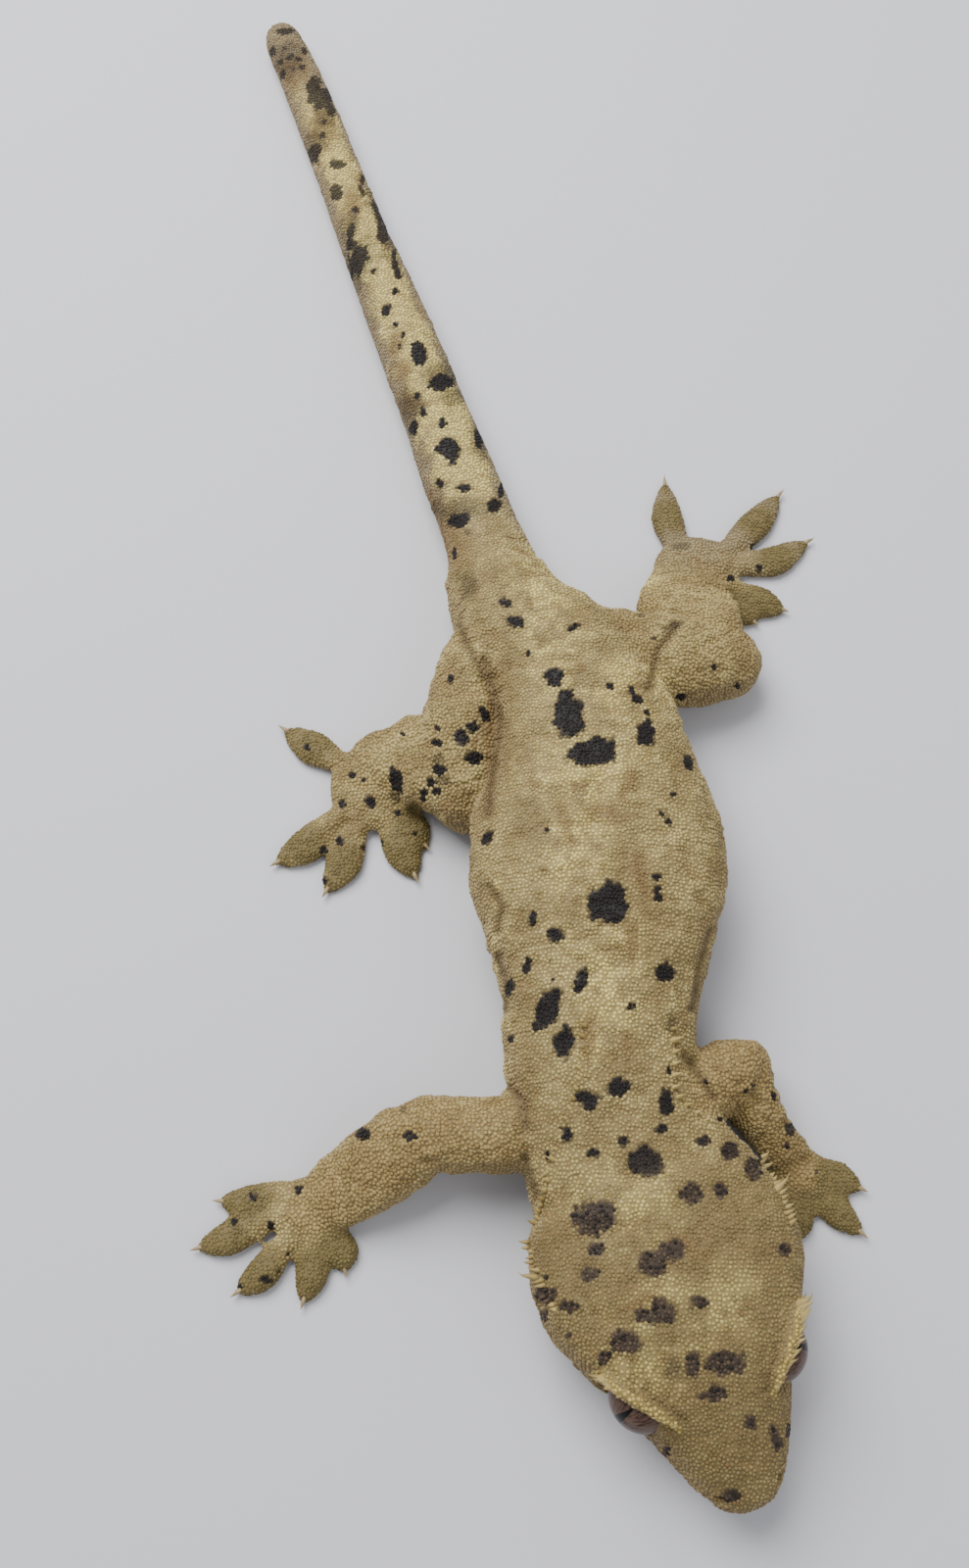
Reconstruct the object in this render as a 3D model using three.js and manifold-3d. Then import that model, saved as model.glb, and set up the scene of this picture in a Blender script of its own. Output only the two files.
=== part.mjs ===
// A crested gecko at rest, life size, in millimetres, +Z up.
// The head points towards -Y and bends to +X, the tail runs back towards +Y.
// Left and right in names are the animal's own: its right side is towards -X.
import * as THREE from "three";
import { mergeVertices } from "three/addons/utils/BufferGeometryUtils.js";
import Module from "manifold-3d";

const wasm = await Module();
wasm.setup();

// Thin gap that parts one sub-part from the next
const GAP = 0.3;
// Reach of the flat cuts, well past the animal's sides
const CUT_WIDE = 90;
// How far soft undersides press past the floor before they are cut flat
const PRESS = 0.35;
// Roundness of every underside
const UNDER_POWER = 0.9;
const SEED = 7;

// Head, on an axis that leaves the snout tip towards the nape
const SNOUT_TIP = new THREE.Vector2(25.5, -75.4);
const HEAD_TURN = THREE.MathUtils.degToRad(19);
const HEAD_SIDES = 20;
const HEAD_ROWS = 24;
const HEAD_BACK = 29.3;
// Each station: distance from the snout tip, half width, top, underside, squareness
const HEAD_STATIONS = [
  [-0.3, 0, 6.2, 6.2, 2],
  [0.4, 2.3, 7.9, 4.4, 2],
  [2, 3.8, 9.2, 2.9, 2.1],
  [4.5, 5.3, 10.4, 1.8, 2.2],
  [8, 6.9, 11.8, 1.0, 2.4],
  [12, 8.8, 13.2, 0.4, 3.2],
  [16, 11.1, 13.9, 0, 3.4],
  [20, 13.1, 14.2, -PRESS, 3.0],
  [24, 13.6, 14.4, -PRESS, 2.7],
  [27.5, 12.8, 14.2, -PRESS, 2.5],
  [31, 10.9, 13.8, -PRESS, 2.4],
  [34, 0, 7, 7, 2.2],
];

// Mouth: a line that rises a little from the lip to the corner of the jaw
const MOUTH_FRONT_Z = 5.2;
const MOUTH_BACK_Z = 6.0;
const MOUTH_CORNER = 17.5;
const LIP_RADIUS = 0.55;
const LIP_RISE = 0.75;
const LIP_STOPS = [16.6, 13, 9.5, 6.3, 3.6, 1.6];
const LIP_FRONT = 0.2;
const LIP_SUNK = 0.985;
const LIP_ROWS = 24;
const LIP_STEEPEST = 0.95;

// Each eye sits deep in the hollow of its orbit, under the shelf of the brow
const EYE_RADIUS = 3.4;
const EYE_BACK = 12.6;
const EYE_OUT = 6.6;
const EYE_Z = 8.7;
const EYE_AROUND = 14;
const EYE_ROWS = 10;
const ORBIT = { back: 12.2, out: 10.7, z: 8.8, radius: 3.0 };

// The brow: distance from the snout, distance out and half width at each stop
const BROW_STOPS = [
  [9.0, 4.4, 0],
  [9.5, 4.8, 0.45],
  [10.6, 5.7, 0.75],
  [11.8, 6.8, 0.85],
  [13.0, 7.8, 0.9],
  [14.2, 8.8, 0.85],
  [14.9, 9.3, 0.7],
  [15.5, 9.7, 0.5],
  [15.9, 9.95, 0],
];
// How high the brow stands over the crown beside it, and its own thickness in half widths
const BROW_LIFT = 0.25;
const BROW_OVER = 0.7;
const BROW_UNDER = 0.9;
const BROW_SIDES = 6;
const BROW_ROWS = 10;

const NOSTRIL = { back: 1.9, out: 2.9, z: 7.7, radius: 0.6 };
// How finely the hollows of nostrils, ears and orbits are cut
const PIT_AROUND = 8;
const PIT_ROWS = 6;
const EAR = { back: 23.4, out: 13.7, z: 7.6, length: 1.5, height: 2.3, depth: 1.5 };

// Neck, trunk and tail, as one run that is then parted:
// centre x, centre y, half width, top, underside, squareness
const BODY_SIDES = 16;
const BODY_ROWS = 52;
const BODY_STATIONS = [
  [20.0, -56.5, 0, 7, 7, 2.2],
  [18.8, -54.0, 10.5, 12.6, -PRESS, 2.3],
  [16.7, -48.6, 12.1, 13.8, -PRESS, 2.3],
  [14.4, -43.5, 10.6, 13.7, -PRESS, 2.3],
  [12.5, -38.5, 9.9, 14.4, -PRESS, 2.3],
  [11.9, -33.0, 9.9, 15.1, -PRESS, 2.3],
  [12.1, -27.0, 10.4, 15.7, -PRESS, 2.3],
  [12.3, -21.0, 12.1, 16.3, -PRESS, 2.3],
  [12.3, -14.5, 13.8, 16.6, -PRESS, 2.3],
  [12.1, -7.5, 13.4, 16.5, -PRESS, 2.3],
  [11.9, -1.0, 11.4, 16.0, -PRESS, 2.3],
  [10.8, 5.5, 10.1, 15.2, -PRESS, 2.3],
  [8.0, 12.0, 8.8, 14.1, -PRESS, 2.3],
  [3.7, 18.0, 7.2, 12.7, -PRESS, 2.2],
  [1.5, 23.0, 6.0, 11.2, -PRESS, 2.2],
  [0.5, 27.6, 5.0, 9.8, -PRESS, 2.2],
  [-0.9, 32.5, 4.5, 8.9, -PRESS, 2.2],
  [-3.5, 40.1, 4.5, 8.3, -PRESS, 2.2],
  [-6.3, 48.7, 4.1, 7.7, -PRESS, 2.2],
  [-9.3, 57.6, 4.0, 7.3, -PRESS, 2.2],
  [-12.6, 66.9, 3.7, 6.8, -PRESS, 2.2],
  [-16.0, 76.5, 3.3, 6.2, -PRESS, 2.2],
  [-19.3, 86.4, 3.1, 5.8, -PRESS, 2.2],
  [-22.8, 96.7, 3.0, 5.4, -PRESS, 2.2],
  [-26.3, 106.5, 2.8, 5.0, -PRESS, 2.2],
  [-28.9, 113.2, 2.4, 4.3, -PRESS, 2.2],
  [-29.9, 115.9, 0, 2, 2, 2],
];
// Where the run is parted, as the y of each cut, and the names from the nape back
const BODY_CUTS = [-38.6, -6, 27.6, 57.6, 86.4];
const BODY_NAMES = ["neck", "torso", "hips", "tail_base", "tail_middle", "tail_tip"];

// Each limb piece: stations of x, y, half width, top, underside, squareness.
// The first station of each lies inside the piece that carries it.
const LIMB_SIDES = 12;
const LIMB_ROWS = 10;
const LIMBS = {
  upper_arm_right: [
    [8.0, -41.2, 0, 6, 6, 2],
    [6.0, -40.4, 3.9, 11.2, 3.2, 2],
    [0.5, -41.1, 3.7, 11.2, 2.8, 2.1],
    [-4.5, -40.9, 3.9, 10.2, 2.2, 2.1],
    [-7.6, -40.8, 3.5, 9.0, 2.0, 2],
    [-10.4, -41.6, 0, 5.5, 5.5, 2],
  ],
  forearm_right: [
    [-4.6, -39.8, 0, 6, 6, 2],
    [-7.0, -41.4, 4.0, 9.2, 2.0, 2],
    [-11.0, -43.9, 4.3, 7.6, 1.0, 2.1],
    [-14.6, -46.0, 3.8, 5.2, 0.4, 2.1],
    [-17.0, -47.3, 3.2, 3.4, 0.2, 2],
    [-18.8, -48.2, 0, 1.6, 1.6, 2],
  ],
  upper_arm_left: [
    [14.0, -37.4, 0, 6, 6, 2],
    [16.0, -37.8, 3.2, 11.0, 3.2, 2],
    [20.6, -37.7, 3.2, 11.0, 2.8, 2.1],
    [24.4, -35.4, 3.7, 10.8, 2.4, 2.1],
    [27.2, -34.3, 3.3, 10.2, 2.2, 2],
    [29.4, -33.9, 0, 6, 6, 2],
  ],
  forearm_left: [
    [25.2, -31.6, 0, 6, 6, 2],
    [26.2, -33.4, 3.3, 10.4, 2.2, 2],
    [28.1, -37.6, 2.8, 8.4, 1.2, 2.1],
    [30.4, -40.8, 2.4, 5.6, 0.5, 2.1],
    [32.4, -42.9, 2.2, 3.4, 0.2, 2],
    [33.2, -44.0, 0, 1.6, 1.6, 2],
  ],
  thigh_right: [
    [3.8, 18.0, 0, 7, 7, 2],
    [2.2, 16.2, 4.0, 11.0, 3.2, 2],
    [-0.8, 10.8, 4.8, 11.2, 2.4, 2.1],
    [-2.2, 4.4, 4.8, 10.8, 1.6, 2.2],
    [-2.2, -2.0, 4.4, 9.4, 0.8, 2.2],
    [-2.0, -5.7, 3.2, 7.8, 1.2, 2.1],
    [-1.9, -7.7, 0, 4.2, 4.2, 2],
  ],
  shank_right: [
    [-2.0, -3.6, 0, 4.6, 4.6, 2],
    [-3.2, -2.6, 3.8, 7.6, 0.8, 2.1],
    [-5.2, 0.5, 6.1, 7.8, -PRESS, 2.2],
    [-8.2, 1.7, 5.5, 6.6, -PRESS, 2.2],
    [-11.4, 1.7, 4.2, 4.6, -PRESS, 2.2],
    [-14.0, 0.9, 3.4, 3.2, -PRESS, 2.1],
    [-15.6, 0.1, 0, 1.4, 1.4, 2],
  ],
  thigh_left: [
    [9.0, 17.5, 0, 7, 7, 2],
    [11.0, 15.7, 3.5, 11.4, 3.2, 2],
    [17.5, 13.3, 5.0, 11.2, 2.4, 2.1],
    [22.8, 12.9, 5.3, 10.4, 1.6, 2.2],
    [27.6, 13.4, 4.6, 9.0, 0.8, 2.2],
    [30.9, 13.8, 3.3, 7.4, 1.2, 2.1],
    [32.8, 14.0, 0, 4.2, 4.2, 2],
  ],
  shank_left: [
    [28.6, 13.2, 0, 4.6, 4.6, 2],
    [27.8, 14.4, 3.6, 7.6, 0.8, 2.1],
    [25.4, 17.6, 5.7, 7.8, -PRESS, 2.2],
    [24.4, 20.8, 6.3, 6.6, -PRESS, 2.2],
    [24.9, 24.0, 5.6, 4.6, -PRESS, 2.2],
    [25.8, 26.8, 4.4, 3.2, -PRESS, 2.1],
    [26.6, 29.0, 0, 1.4, 1.4, 2],
  ],
};
// The lower pieces and the upper ones that carry them
const CARRIERS = {
  forearm_right: "upper_arm_right",
  forearm_left: "upper_arm_left",
  shank_right: "thigh_right",
  shank_left: "thigh_left",
};

// Feet: the middle of the sole, its two half widths and height, then for each toe
// the root, the middle of the pad and the claw tip
const TOE_SIDES = 6;
const TOE_ROWS = 8;
const SOLE_SIDES = 10;
const SOLE_ROWS = 6;
const FEET = {
  hand_right: {
    sole: [-18.4, -48.1, 4.0, 3.6, 2.6],
    from: "forearm_right",
    pad: 1.85,
    toes: [
      [-20.6, -46.0, -24.8, -47.2, -28.2, -47.0],
      [-22.0, -48.8, -26.6, -50.8, -30.2, -51.9],
      [-20.3, -50.8, -22.9, -54.3, -25.8, -56.4],
      [-17.8, -51.0, -17.8, -54.4, -18.7, -57.5],
      [-15.6, -49.8, -14.7, -52.2, -14.3, -54.4],
    ],
  },
  hand_left: {
    sole: [33.2, -44.5, 3.2, 3.0, 2.6],
    from: "forearm_left",
    pad: 1.75,
    toes: [
      [35.0, -43.6, 37.2, -44.6, 40.0, -46.0],
      [34.6, -45.7, 36.9, -48.2, 39.6, -50.6],
      [33.0, -46.8, 32.6, -49.2, 32.2, -51.4],
      [31.6, -46.6, 30.2, -49.2, 29.0, -51.6],
      [30.8, -44.8, 28.6, -46.2, 26.6, -47.2],
    ],
  },
  foot_right: {
    sole: [-13.8, -1.0, 4.1, 5.3, 3.0],
    from: "shank_right",
    pad: 2.2,
    toes: [
      [-16.8, 2.3, -20.2, 4.3, -24.0, 6.9],
      [-17.2, -4.6, -20.5, -8.0, -24.2, -10.2],
      [-14.6, -5.6, -16.0, -10.0, -18.2, -13.8],
      [-11.2, -5.4, -9.3, -8.6, -7.6, -12.0],
      [-10.2, -3.8, -8.2, -6.0, -6.4, -8.2],
    ],
  },
  foot_left: {
    sole: [26.0, 27.6, 5.4, 4.6, 3.0],
    from: "shank_left",
    pad: 2.1,
    toes: [
      [24.0, 30.0, 22.8, 35.0, 22.7, 41.0],
      [29.7, 30.2, 33.7, 34.3, 37.4, 39.1],
      [31.2, 28.2, 35.8, 29.2, 40.6, 32.2],
      [30.8, 25.0, 33.9, 23.3, 36.8, 22.2],
      [29.2, 24.0, 31.4, 22.2, 33.0, 20.4],
    ],
  },
};
// Stations of a toe: half width as a share of the pad's, top, underside
const TOE_FORM = [
  [0, 2.6, -PRESS],
  [0.52, 2.3, -PRESS],
  [0.86, 1.95, -PRESS],
  [1, 1.9, -PRESS],
  [0.66, 1.5, -PRESS],
  [0, 0.7, 0.3],
];
// How far a toe's root starts inside the sole, and where its claw begins past the pad
const TOE_START = 0.45;
const CLAW_START = 0.54;

// Soft spines along the crests: how many, and how far each stands out
const CROWN_SPINES = 9;
const NECK_SPINES = 11;
const SPINE_HEIGHT = 1.8;
const SPINE_RADIUS = 0.55;
const SPINE_SIDES = 4;
const SPINE_ROOT = 0.55;
const SPINE_VARIES = [0.75, 1.15];
// The tallest spines stand at the widest part of the cheeks
const SPINE_PEAK = { back: 26, more: 0.5, reach: 1.6 };
const CROWN_CREST = { first: 19.5, last: 28.4, out: [12.0, 12.6] };
const CROWN_LEAN = { out: 1.1, back: 0.25 };
const NECK_LEAN = 0.7;
const NECK_SMALLEST = 0.45;
const LASHES = { count: 9, from: 0.2, to: 0.8, height: 1.35, radius: 0.4, reach: 0.7 };
const LASH_LEAN = { back: 0.15, up: 0.25 };
const NECK_CREST = [
  [4.9, -50.4],
  [5.7, -47.4],
  [7.4, -42.2],
  [9.2, -37.1],
  [9.9, -31.5],
];
const NECK_CREST_LEFT = [
  [29.4, -48.4],
  [27.3, -44.6],
  [23.2, -41.8],
  [18.8, -37.8],
  [18.9, -31.5],
];

const COLOURS = {
  head: 0xbeaf82,
  jaw: 0xc8bc96,
  body: 0xc4b487,
  tail: 0xbeaf73,
  limb: 0xc3aa78,
  pad: 0xa0925a,
  eye: 0x4a3a30,
};
// Roughness of the skin and of the wet eyes
const SKIN_GLOSS = 0.75;
const EYE_GLOSS = 0.15;

// A repeatable draw between two values
let draw = SEED;
function vary(low, high) {
  draw = (draw * 16807) % 2147483647;
  return low + ((high - low) * draw) / 2147483647;
}

// A closed geometry as a solid
function solid(geometry) {
  const bare = geometry.index ? geometry.clone() : mergeVertices(geometry);
  for (const name of Object.keys(bare.attributes)) {
    if (name !== "position") bare.deleteAttribute(name);
  }
  const merged = mergeVertices(bare, 1e-4);
  const at = merged.index.array;
  const kept = [];
  for (let i = 0; i < at.length; i += 3) {
    const [a, b, c] = [at[i], at[i + 1], at[i + 2]];
    if (a !== b && b !== c && c !== a) kept.push(a, b, c);
  }
  return new wasm.Manifold(
    new wasm.Mesh({
      numProp: 3,
      vertProperties: new Float32Array(merged.attributes.position.array),
      triVerts: new Uint32Array(kept),
    }),
  );
}

// The largest closed surface of a solid
function largest(made) {
  const bodies = made.decompose();
  return bodies.reduce((best, body) => (body.volume() > best.volume() ? body : best));
}

// A named mesh from a solid
function node(name, made, colour, roughness = SKIN_GLOSS) {
  const mesh = largest(made).getMesh();
  const geometry = new THREE.BufferGeometry();
  const places = new Float32Array(mesh.numVert * 3);
  for (let i = 0; i < mesh.numVert; i++) {
    for (let k = 0; k < 3; k++) places[i * 3 + k] = mesh.vertProperties[i * mesh.numProp + k];
  }
  geometry.setAttribute("position", new THREE.BufferAttribute(places, 3));
  geometry.setIndex(new THREE.BufferAttribute(new Uint32Array(mesh.triVerts), 1));
  geometry.computeVertexNormals();
  const material = new THREE.MeshStandardMaterial({ color: colour, roughness, metalness: 0 });
  const shape = new THREE.Mesh(geometry, material);
  shape.name = name;
  return shape;
}

// A run of sections along stations of x, y, half width, top, underside, squareness.
// grow widens it all round, for a cut that keeps a gap.
class Run {
  constructor(stations, grow = 0) {
    const last = stations.length - 1;
    const lead = (i) => new THREE.Vector2(stations[i][0], stations[i][1]);
    const out = (i, j) => lead(i).sub(lead(j)).normalize().multiplyScalar(grow);
    this.last = last;
    this.path = new THREE.CatmullRomCurve3(
      stations.map(([x, y, , top, under], i) => {
        const push = i === 0 ? out(0, 1) : i === last ? out(last, last - 1) : new THREE.Vector2();
        return new THREE.Vector3(x + push.x, y + push.y, (top + under) / 2);
      }),
      false,
      "catmullrom",
    );
    this.form = new THREE.CatmullRomCurve3(
      stations.map(([, , half, top, under, square]) => {
        const more = half > 0 ? grow : 0;
        return new THREE.Vector3(half + more, (top - under) / 2 + more, square);
      }),
      false,
      "catmullrom",
      0.4,
    );
  }

  // The section at a share of the run, with its level side direction
  section(share) {
    const centre = this.path.getPoint(share);
    const along = this.path.getTangent(share);
    along.z = 0;
    along.normalize();
    const side = new THREE.Vector3().crossVectors(along, new THREE.Vector3(0, 0, 1));
    const form = this.form.getPoint(share);
    const half = Math.max(form.x, 0);
    const rise = Math.max(form.y, 0);
    return { centre, side, half, rise, power: 2 / Math.max(form.z, 1.6) };
  }

  // The point at an angle round the section
  point(share, angle) {
    const { centre, side, half, rise, power } = this.section(share);
    const c = Math.cos(angle);
    const s = Math.sin(angle);
    const bend = s > 0 ? power : UNDER_POWER;
    const out = half * Math.sign(c) * Math.abs(c) ** bend;
    const up = rise * Math.sign(s) * Math.abs(s) ** bend;
    return centre.clone().addScaledVector(side, out).setZ(centre.z + up);
  }

  // The angle at which the upper surface lies this far out to the side
  angleOut(share, out) {
    const { half, power } = this.section(share);
    const ratio = THREE.MathUtils.clamp(Math.abs(out) / half, 0, 0.98);
    const angle = Math.acos(ratio ** (1 / power));
    return out >= 0 ? angle : Math.PI - angle;
  }

  // The outward direction of the surface
  normal(share, angle) {
    const step = 0.01;
    const a = this.point(share + step, angle).sub(this.point(share - step, angle));
    const b = this.point(share, angle + step).sub(this.point(share, angle - step));
    const up = new THREE.Vector3().crossVectors(b, a).normalize();
    const centre = this.section(share).centre;
    const outward = this.point(share, angle).sub(centre);
    return up.dot(outward) < 0 ? up.negate() : up;
  }

  // The closed solid: a sphere's grid laid along the run
  build(rows, sides) {
    const grid = new THREE.SphereGeometry(1, sides, rows);
    const place = grid.attributes.position;
    for (let row = 0; row <= rows; row++) {
      const share = row / rows;
      for (let k = 0; k <= sides; k++) {
        const pole = row === 0 || row === rows;
        const angle = (2 * Math.PI * (k % sides)) / sides;
        const at = pole ? this.path.getPoint(share) : this.point(share, angle);
        place.setXYZ(row * (sides + 1) + k, at.x, at.y, at.z);
      }
    }
    return solid(grid);
  }
}

// The space below the floor, to be cut away
const FLOOR_WIDE = 400;
const FLOOR_DEEP = 60;
const floor = solid(
  new THREE.BoxGeometry(FLOOR_WIDE, FLOOR_WIDE, FLOOR_DEEP).translate(0, 0, -FLOOR_DEEP / 2),
);

// Directions of the head: along it towards the nape, and out to the animal's left
const NAPE_WAY = new THREE.Vector3(-Math.sin(HEAD_TURN), Math.cos(HEAD_TURN), 0);
const LEFT_WAY = new THREE.Vector3(Math.cos(HEAD_TURN), Math.sin(HEAD_TURN), 0);
function inHead(back, out, z) {
  return new THREE.Vector3(SNOUT_TIP.x, SNOUT_TIP.y, z)
    .addScaledVector(NAPE_WAY, back)
    .addScaledVector(LEFT_WAY, out);
}

// A solid box placed in the head's own directions, between two distances from the snout
function headBox(from, to, low, high, tilt = 0) {
  return solid(
    new THREE.BoxGeometry(CUT_WIDE, to - from, high - low)
      .translate(0, (to + from) / 2, (high + low) / 2)
      .rotateX(tilt)
      .rotateZ(HEAD_TURN)
      .translate(SNOUT_TIP.x, SNOUT_TIP.y, 0),
  );
}

// Everything behind, or in front of, a distance from the snout
function behind(back) {
  return headBox(back, back + CUT_WIDE, -CUT_WIDE, CUT_WIDE);
}
function before(back) {
  return headBox(-CUT_WIDE, back, -CUT_WIDE, CUT_WIDE);
}

const HEAD_PLACED = HEAD_STATIONS.map(([back, half, top, under, square]) => {
  const at = inHead(back, 0, 0);
  return [at.x, at.y, half, top, under, square];
});
const headRun = new Run(HEAD_PLACED);
const bodyRun = new Run(BODY_STATIONS);

// The share of the head's run at a distance from the snout
function headShare(back) {
  const stops = HEAD_STATIONS.map((station) => station[0]);
  const i = Math.max(0, stops.findIndex((stop) => stop > back) - 1);
  return (i + (back - stops[i]) / (stops[i + 1] - stops[i])) / (stops.length - 1);
}

// The share of the body's run at a y
function bodyShare(y) {
  const stops = BODY_STATIONS.map((station) => station[1]);
  const i = Math.max(0, stops.findIndex((stop) => stop > y) - 1);
  return (i + (y - stops[i]) / (stops[i + 1] - stops[i])) / (stops.length - 1);
}

// A pointed cone with its root sunk in the surface
function spine(at, way, height, radius) {
  const cone = new THREE.ConeGeometry(radius, height * (1 + SPINE_ROOT), SPINE_SIDES);
  cone.translate(0, (height * (1 - SPINE_ROOT)) / 2, 0);
  const turn = new THREE.Quaternion().setFromUnitVectors(new THREE.Vector3(0, 1, 0), way);
  return solid(cone.applyQuaternion(turn).translate(at.x, at.y, at.z));
}

// Spines along the edges of the crown, from behind the brow to the nape
function crownSpines() {
  const made = [];
  for (const side of [-1, 1]) {
    for (let i = 0; i < CROWN_SPINES; i++) {
      const along = i / (CROWN_SPINES - 1);
      const back = THREE.MathUtils.lerp(CROWN_CREST.first, CROWN_CREST.last, along);
      const out = THREE.MathUtils.lerp(...CROWN_CREST.out, Math.sqrt(along));
      const share = headShare(back);
      const angle = headRun.angleOut(share, side * out);
      const at = headRun.point(share, angle);
      const way = headRun.normal(share, angle);
      way.addScaledVector(LEFT_WAY, side * CROWN_LEAN.out);
      way.addScaledVector(NAPE_WAY, CROWN_LEAN.back).normalize();
      const peak = 1 + SPINE_PEAK.more * Math.exp(-(((back - SPINE_PEAK.back) / SPINE_PEAK.reach) ** 2));
      made.push(spine(at, way, SPINE_HEIGHT * peak * vary(...SPINE_VARIES), SPINE_RADIUS));
    }
  }
  return made;
}

// Spines down both sides of the neck to the shoulders, smaller as they go
function neckSpines() {
  const made = [];
  for (const crest of [NECK_CREST, NECK_CREST_LEFT]) {
    const line = new THREE.SplineCurve(crest.map(([x, y]) => new THREE.Vector2(x, y)));
    for (let i = 0; i < NECK_SPINES; i++) {
      const along = i / (NECK_SPINES - 1);
      const mark = line.getPointAt(along);
      const share = bodyShare(mark.y);
      const { centre, side } = bodyRun.section(share);
      const out = new THREE.Vector3(mark.x - centre.x, mark.y - centre.y, 0).dot(side);
      const angle = bodyRun.angleOut(share, out);
      const at = bodyRun.point(share, angle);
      const way = bodyRun.normal(share, angle).addScaledVector(side, Math.sign(out) * NECK_LEAN);
      const small = THREE.MathUtils.lerp(1, NECK_SMALLEST, along);
      const height = SPINE_HEIGHT * small * vary(...SPINE_VARIES);
      made.push(spine(at, way.normalize(), height, SPINE_RADIUS * small ** 0.5));
    }
  }
  return made;
}

// The brow over each eye: a narrow shelf with a fringe of lashes
function brow(side) {
  const shelf = new Run(
    BROW_STOPS.map(([back, out, half]) => {
      const at = inHead(back, side * out, 0);
      const share = headShare(back);
      const crown = headRun.point(share, headRun.angleOut(share, side * (out - half)));
      const z = crown.z + BROW_LIFT;
      return [at.x, at.y, half, z + half * BROW_OVER, z - half * BROW_UNDER, 2];
    }),
  );
  let made = shelf.build(BROW_ROWS, BROW_SIDES);
  for (let i = 0; i < LASHES.count; i++) {
    const share = THREE.MathUtils.lerp(LASHES.from, LASHES.to, i / (LASHES.count - 1));
    const at = shelf.section(share).centre.addScaledVector(LEFT_WAY, side * LASHES.reach);
    const way = LEFT_WAY.clone().multiplyScalar(side).addScaledVector(NAPE_WAY, LASH_LEAN.back);
    way.z = LASH_LEAN.up;
    const height = LASHES.height * vary(...SPINE_VARIES);
    made = made.add(spine(at, way.normalize(), height, LASHES.radius));
  }
  return made;
}

// A rounded lip that follows the upper jaw from corner to corner
function upperLip() {
  const right = LIP_STOPS.map((back) => [back, -1]);
  const left = LIP_STOPS.map((back) => [back, 1]).reverse();
  const points = [...right, [LIP_FRONT, 0], ...left].map(([back, side]) => {
    const z = mouthZ(back) + LIP_RISE;
    const { centre, rise, power, half } = headRun.section(headShare(back));
    const lift = Math.min(Math.abs(z - centre.z) / rise, LIP_STEEPEST);
    const bend = z > centre.z ? power : UNDER_POWER;
    const angle = Math.asin(lift ** (1 / bend));
    return inHead(back, side * half * Math.cos(angle) ** bend * LIP_SUNK, z);
  });
  const ring = new THREE.Shape().absarc(0, 0, LIP_RADIUS, 0, 2 * Math.PI);
  return solid(
    new THREE.ExtrudeGeometry(ring, {
      steps: LIP_ROWS,
      extrudePath: new THREE.CatmullRomCurve3(points),
      curveSegments: 2,
    }),
  );
}

function mouthZ(back) {
  return MOUTH_FRONT_Z + ((MOUTH_BACK_Z - MOUTH_FRONT_Z) * back) / MOUTH_CORNER;
}

// A hollow with a size out to the side, along the head and upwards
function pit({ back, out, z }, side, size) {
  const at = inHead(back, side * out, z);
  const ball = new THREE.SphereGeometry(1, PIT_AROUND, PIT_ROWS).scale(...size);
  return solid(ball.rotateZ(HEAD_TURN).translate(at.x, at.y, at.z));
}

// An eyeball, or the room it needs
function eye(side, grow = 0) {
  const ball = new THREE.SphereGeometry(EYE_RADIUS + grow, EYE_AROUND, EYE_ROWS);
  const at = inHead(EYE_BACK, side * EYE_OUT, EYE_Z);
  return solid(ball.rotateX(Math.PI / 2).translate(at.x, at.y, at.z));
}

// The head, parted from the jaw by the line of the mouth and from the neck by the nape
function headNodes() {
  const tilt = Math.atan2(MOUTH_BACK_Z - MOUTH_FRONT_Z, MOUTH_CORNER);
  const whole = headRun.build(HEAD_ROWS, HEAD_SIDES).subtract(floor).subtract(behind(HEAD_BACK));
  let jaw = whole.intersect(headBox(-CUT_WIDE, MOUTH_CORNER, -CUT_WIDE, MOUTH_FRONT_Z, tilt));
  const jawRoom = headBox(-CUT_WIDE, MOUTH_CORNER + GAP, -CUT_WIDE, MOUTH_FRONT_Z + GAP, tilt);
  let head = whole.add(upperLip()).subtract(jawRoom);
  for (const side of [-1, 1]) {
    head = head.subtract(pit(ORBIT, side, [ORBIT.radius, ORBIT.radius, ORBIT.radius]));
    head = head.add(brow(side));
    head = head.subtract(pit(EAR, side, [EAR.depth, EAR.length, EAR.height]));
    head = head.subtract(pit(NOSTRIL, side, [NOSTRIL.radius, NOSTRIL.radius, NOSTRIL.radius]));
  }
  for (const made of crownSpines()) head = head.add(made);
  head = head.subtract(behind(HEAD_BACK));
  for (const side of [-1, 1]) {
    head = head.subtract(eye(side, GAP));
    jaw = jaw.subtract(eye(side, GAP));
  }
  return [
    node("head", head, COLOURS.head),
    node("lower_jaw", jaw, COLOURS.jaw),
    node("eye_right", eye(-1), COLOURS.eye, EYE_GLOSS),
    node("eye_left", eye(1), COLOURS.eye, EYE_GLOSS),
  ];
}

// Everything on one side of a cut square to the body's run
function half(share, way) {
  const at = bodyRun.path.getPoint(share);
  const along = bodyRun.path.getTangent(share).setZ(0).normalize();
  const shift = (way * GAP) / 2;
  return solid(
    new THREE.BoxGeometry(2 * CUT_WIDE, 2 * CUT_WIDE, 2 * CUT_WIDE)
      .translate(way * CUT_WIDE, 0, 0)
      .rotateZ(Math.atan2(along.y, along.x))
      .translate(at.x + along.x * shift, at.y + along.y * shift, 0),
  );
}

// One piece of an arm or leg, or the room it needs
function limb(name, grow = 0) {
  return new Run(LIMBS[name], grow).build(LIMB_ROWS, LIMB_SIDES);
}

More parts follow.
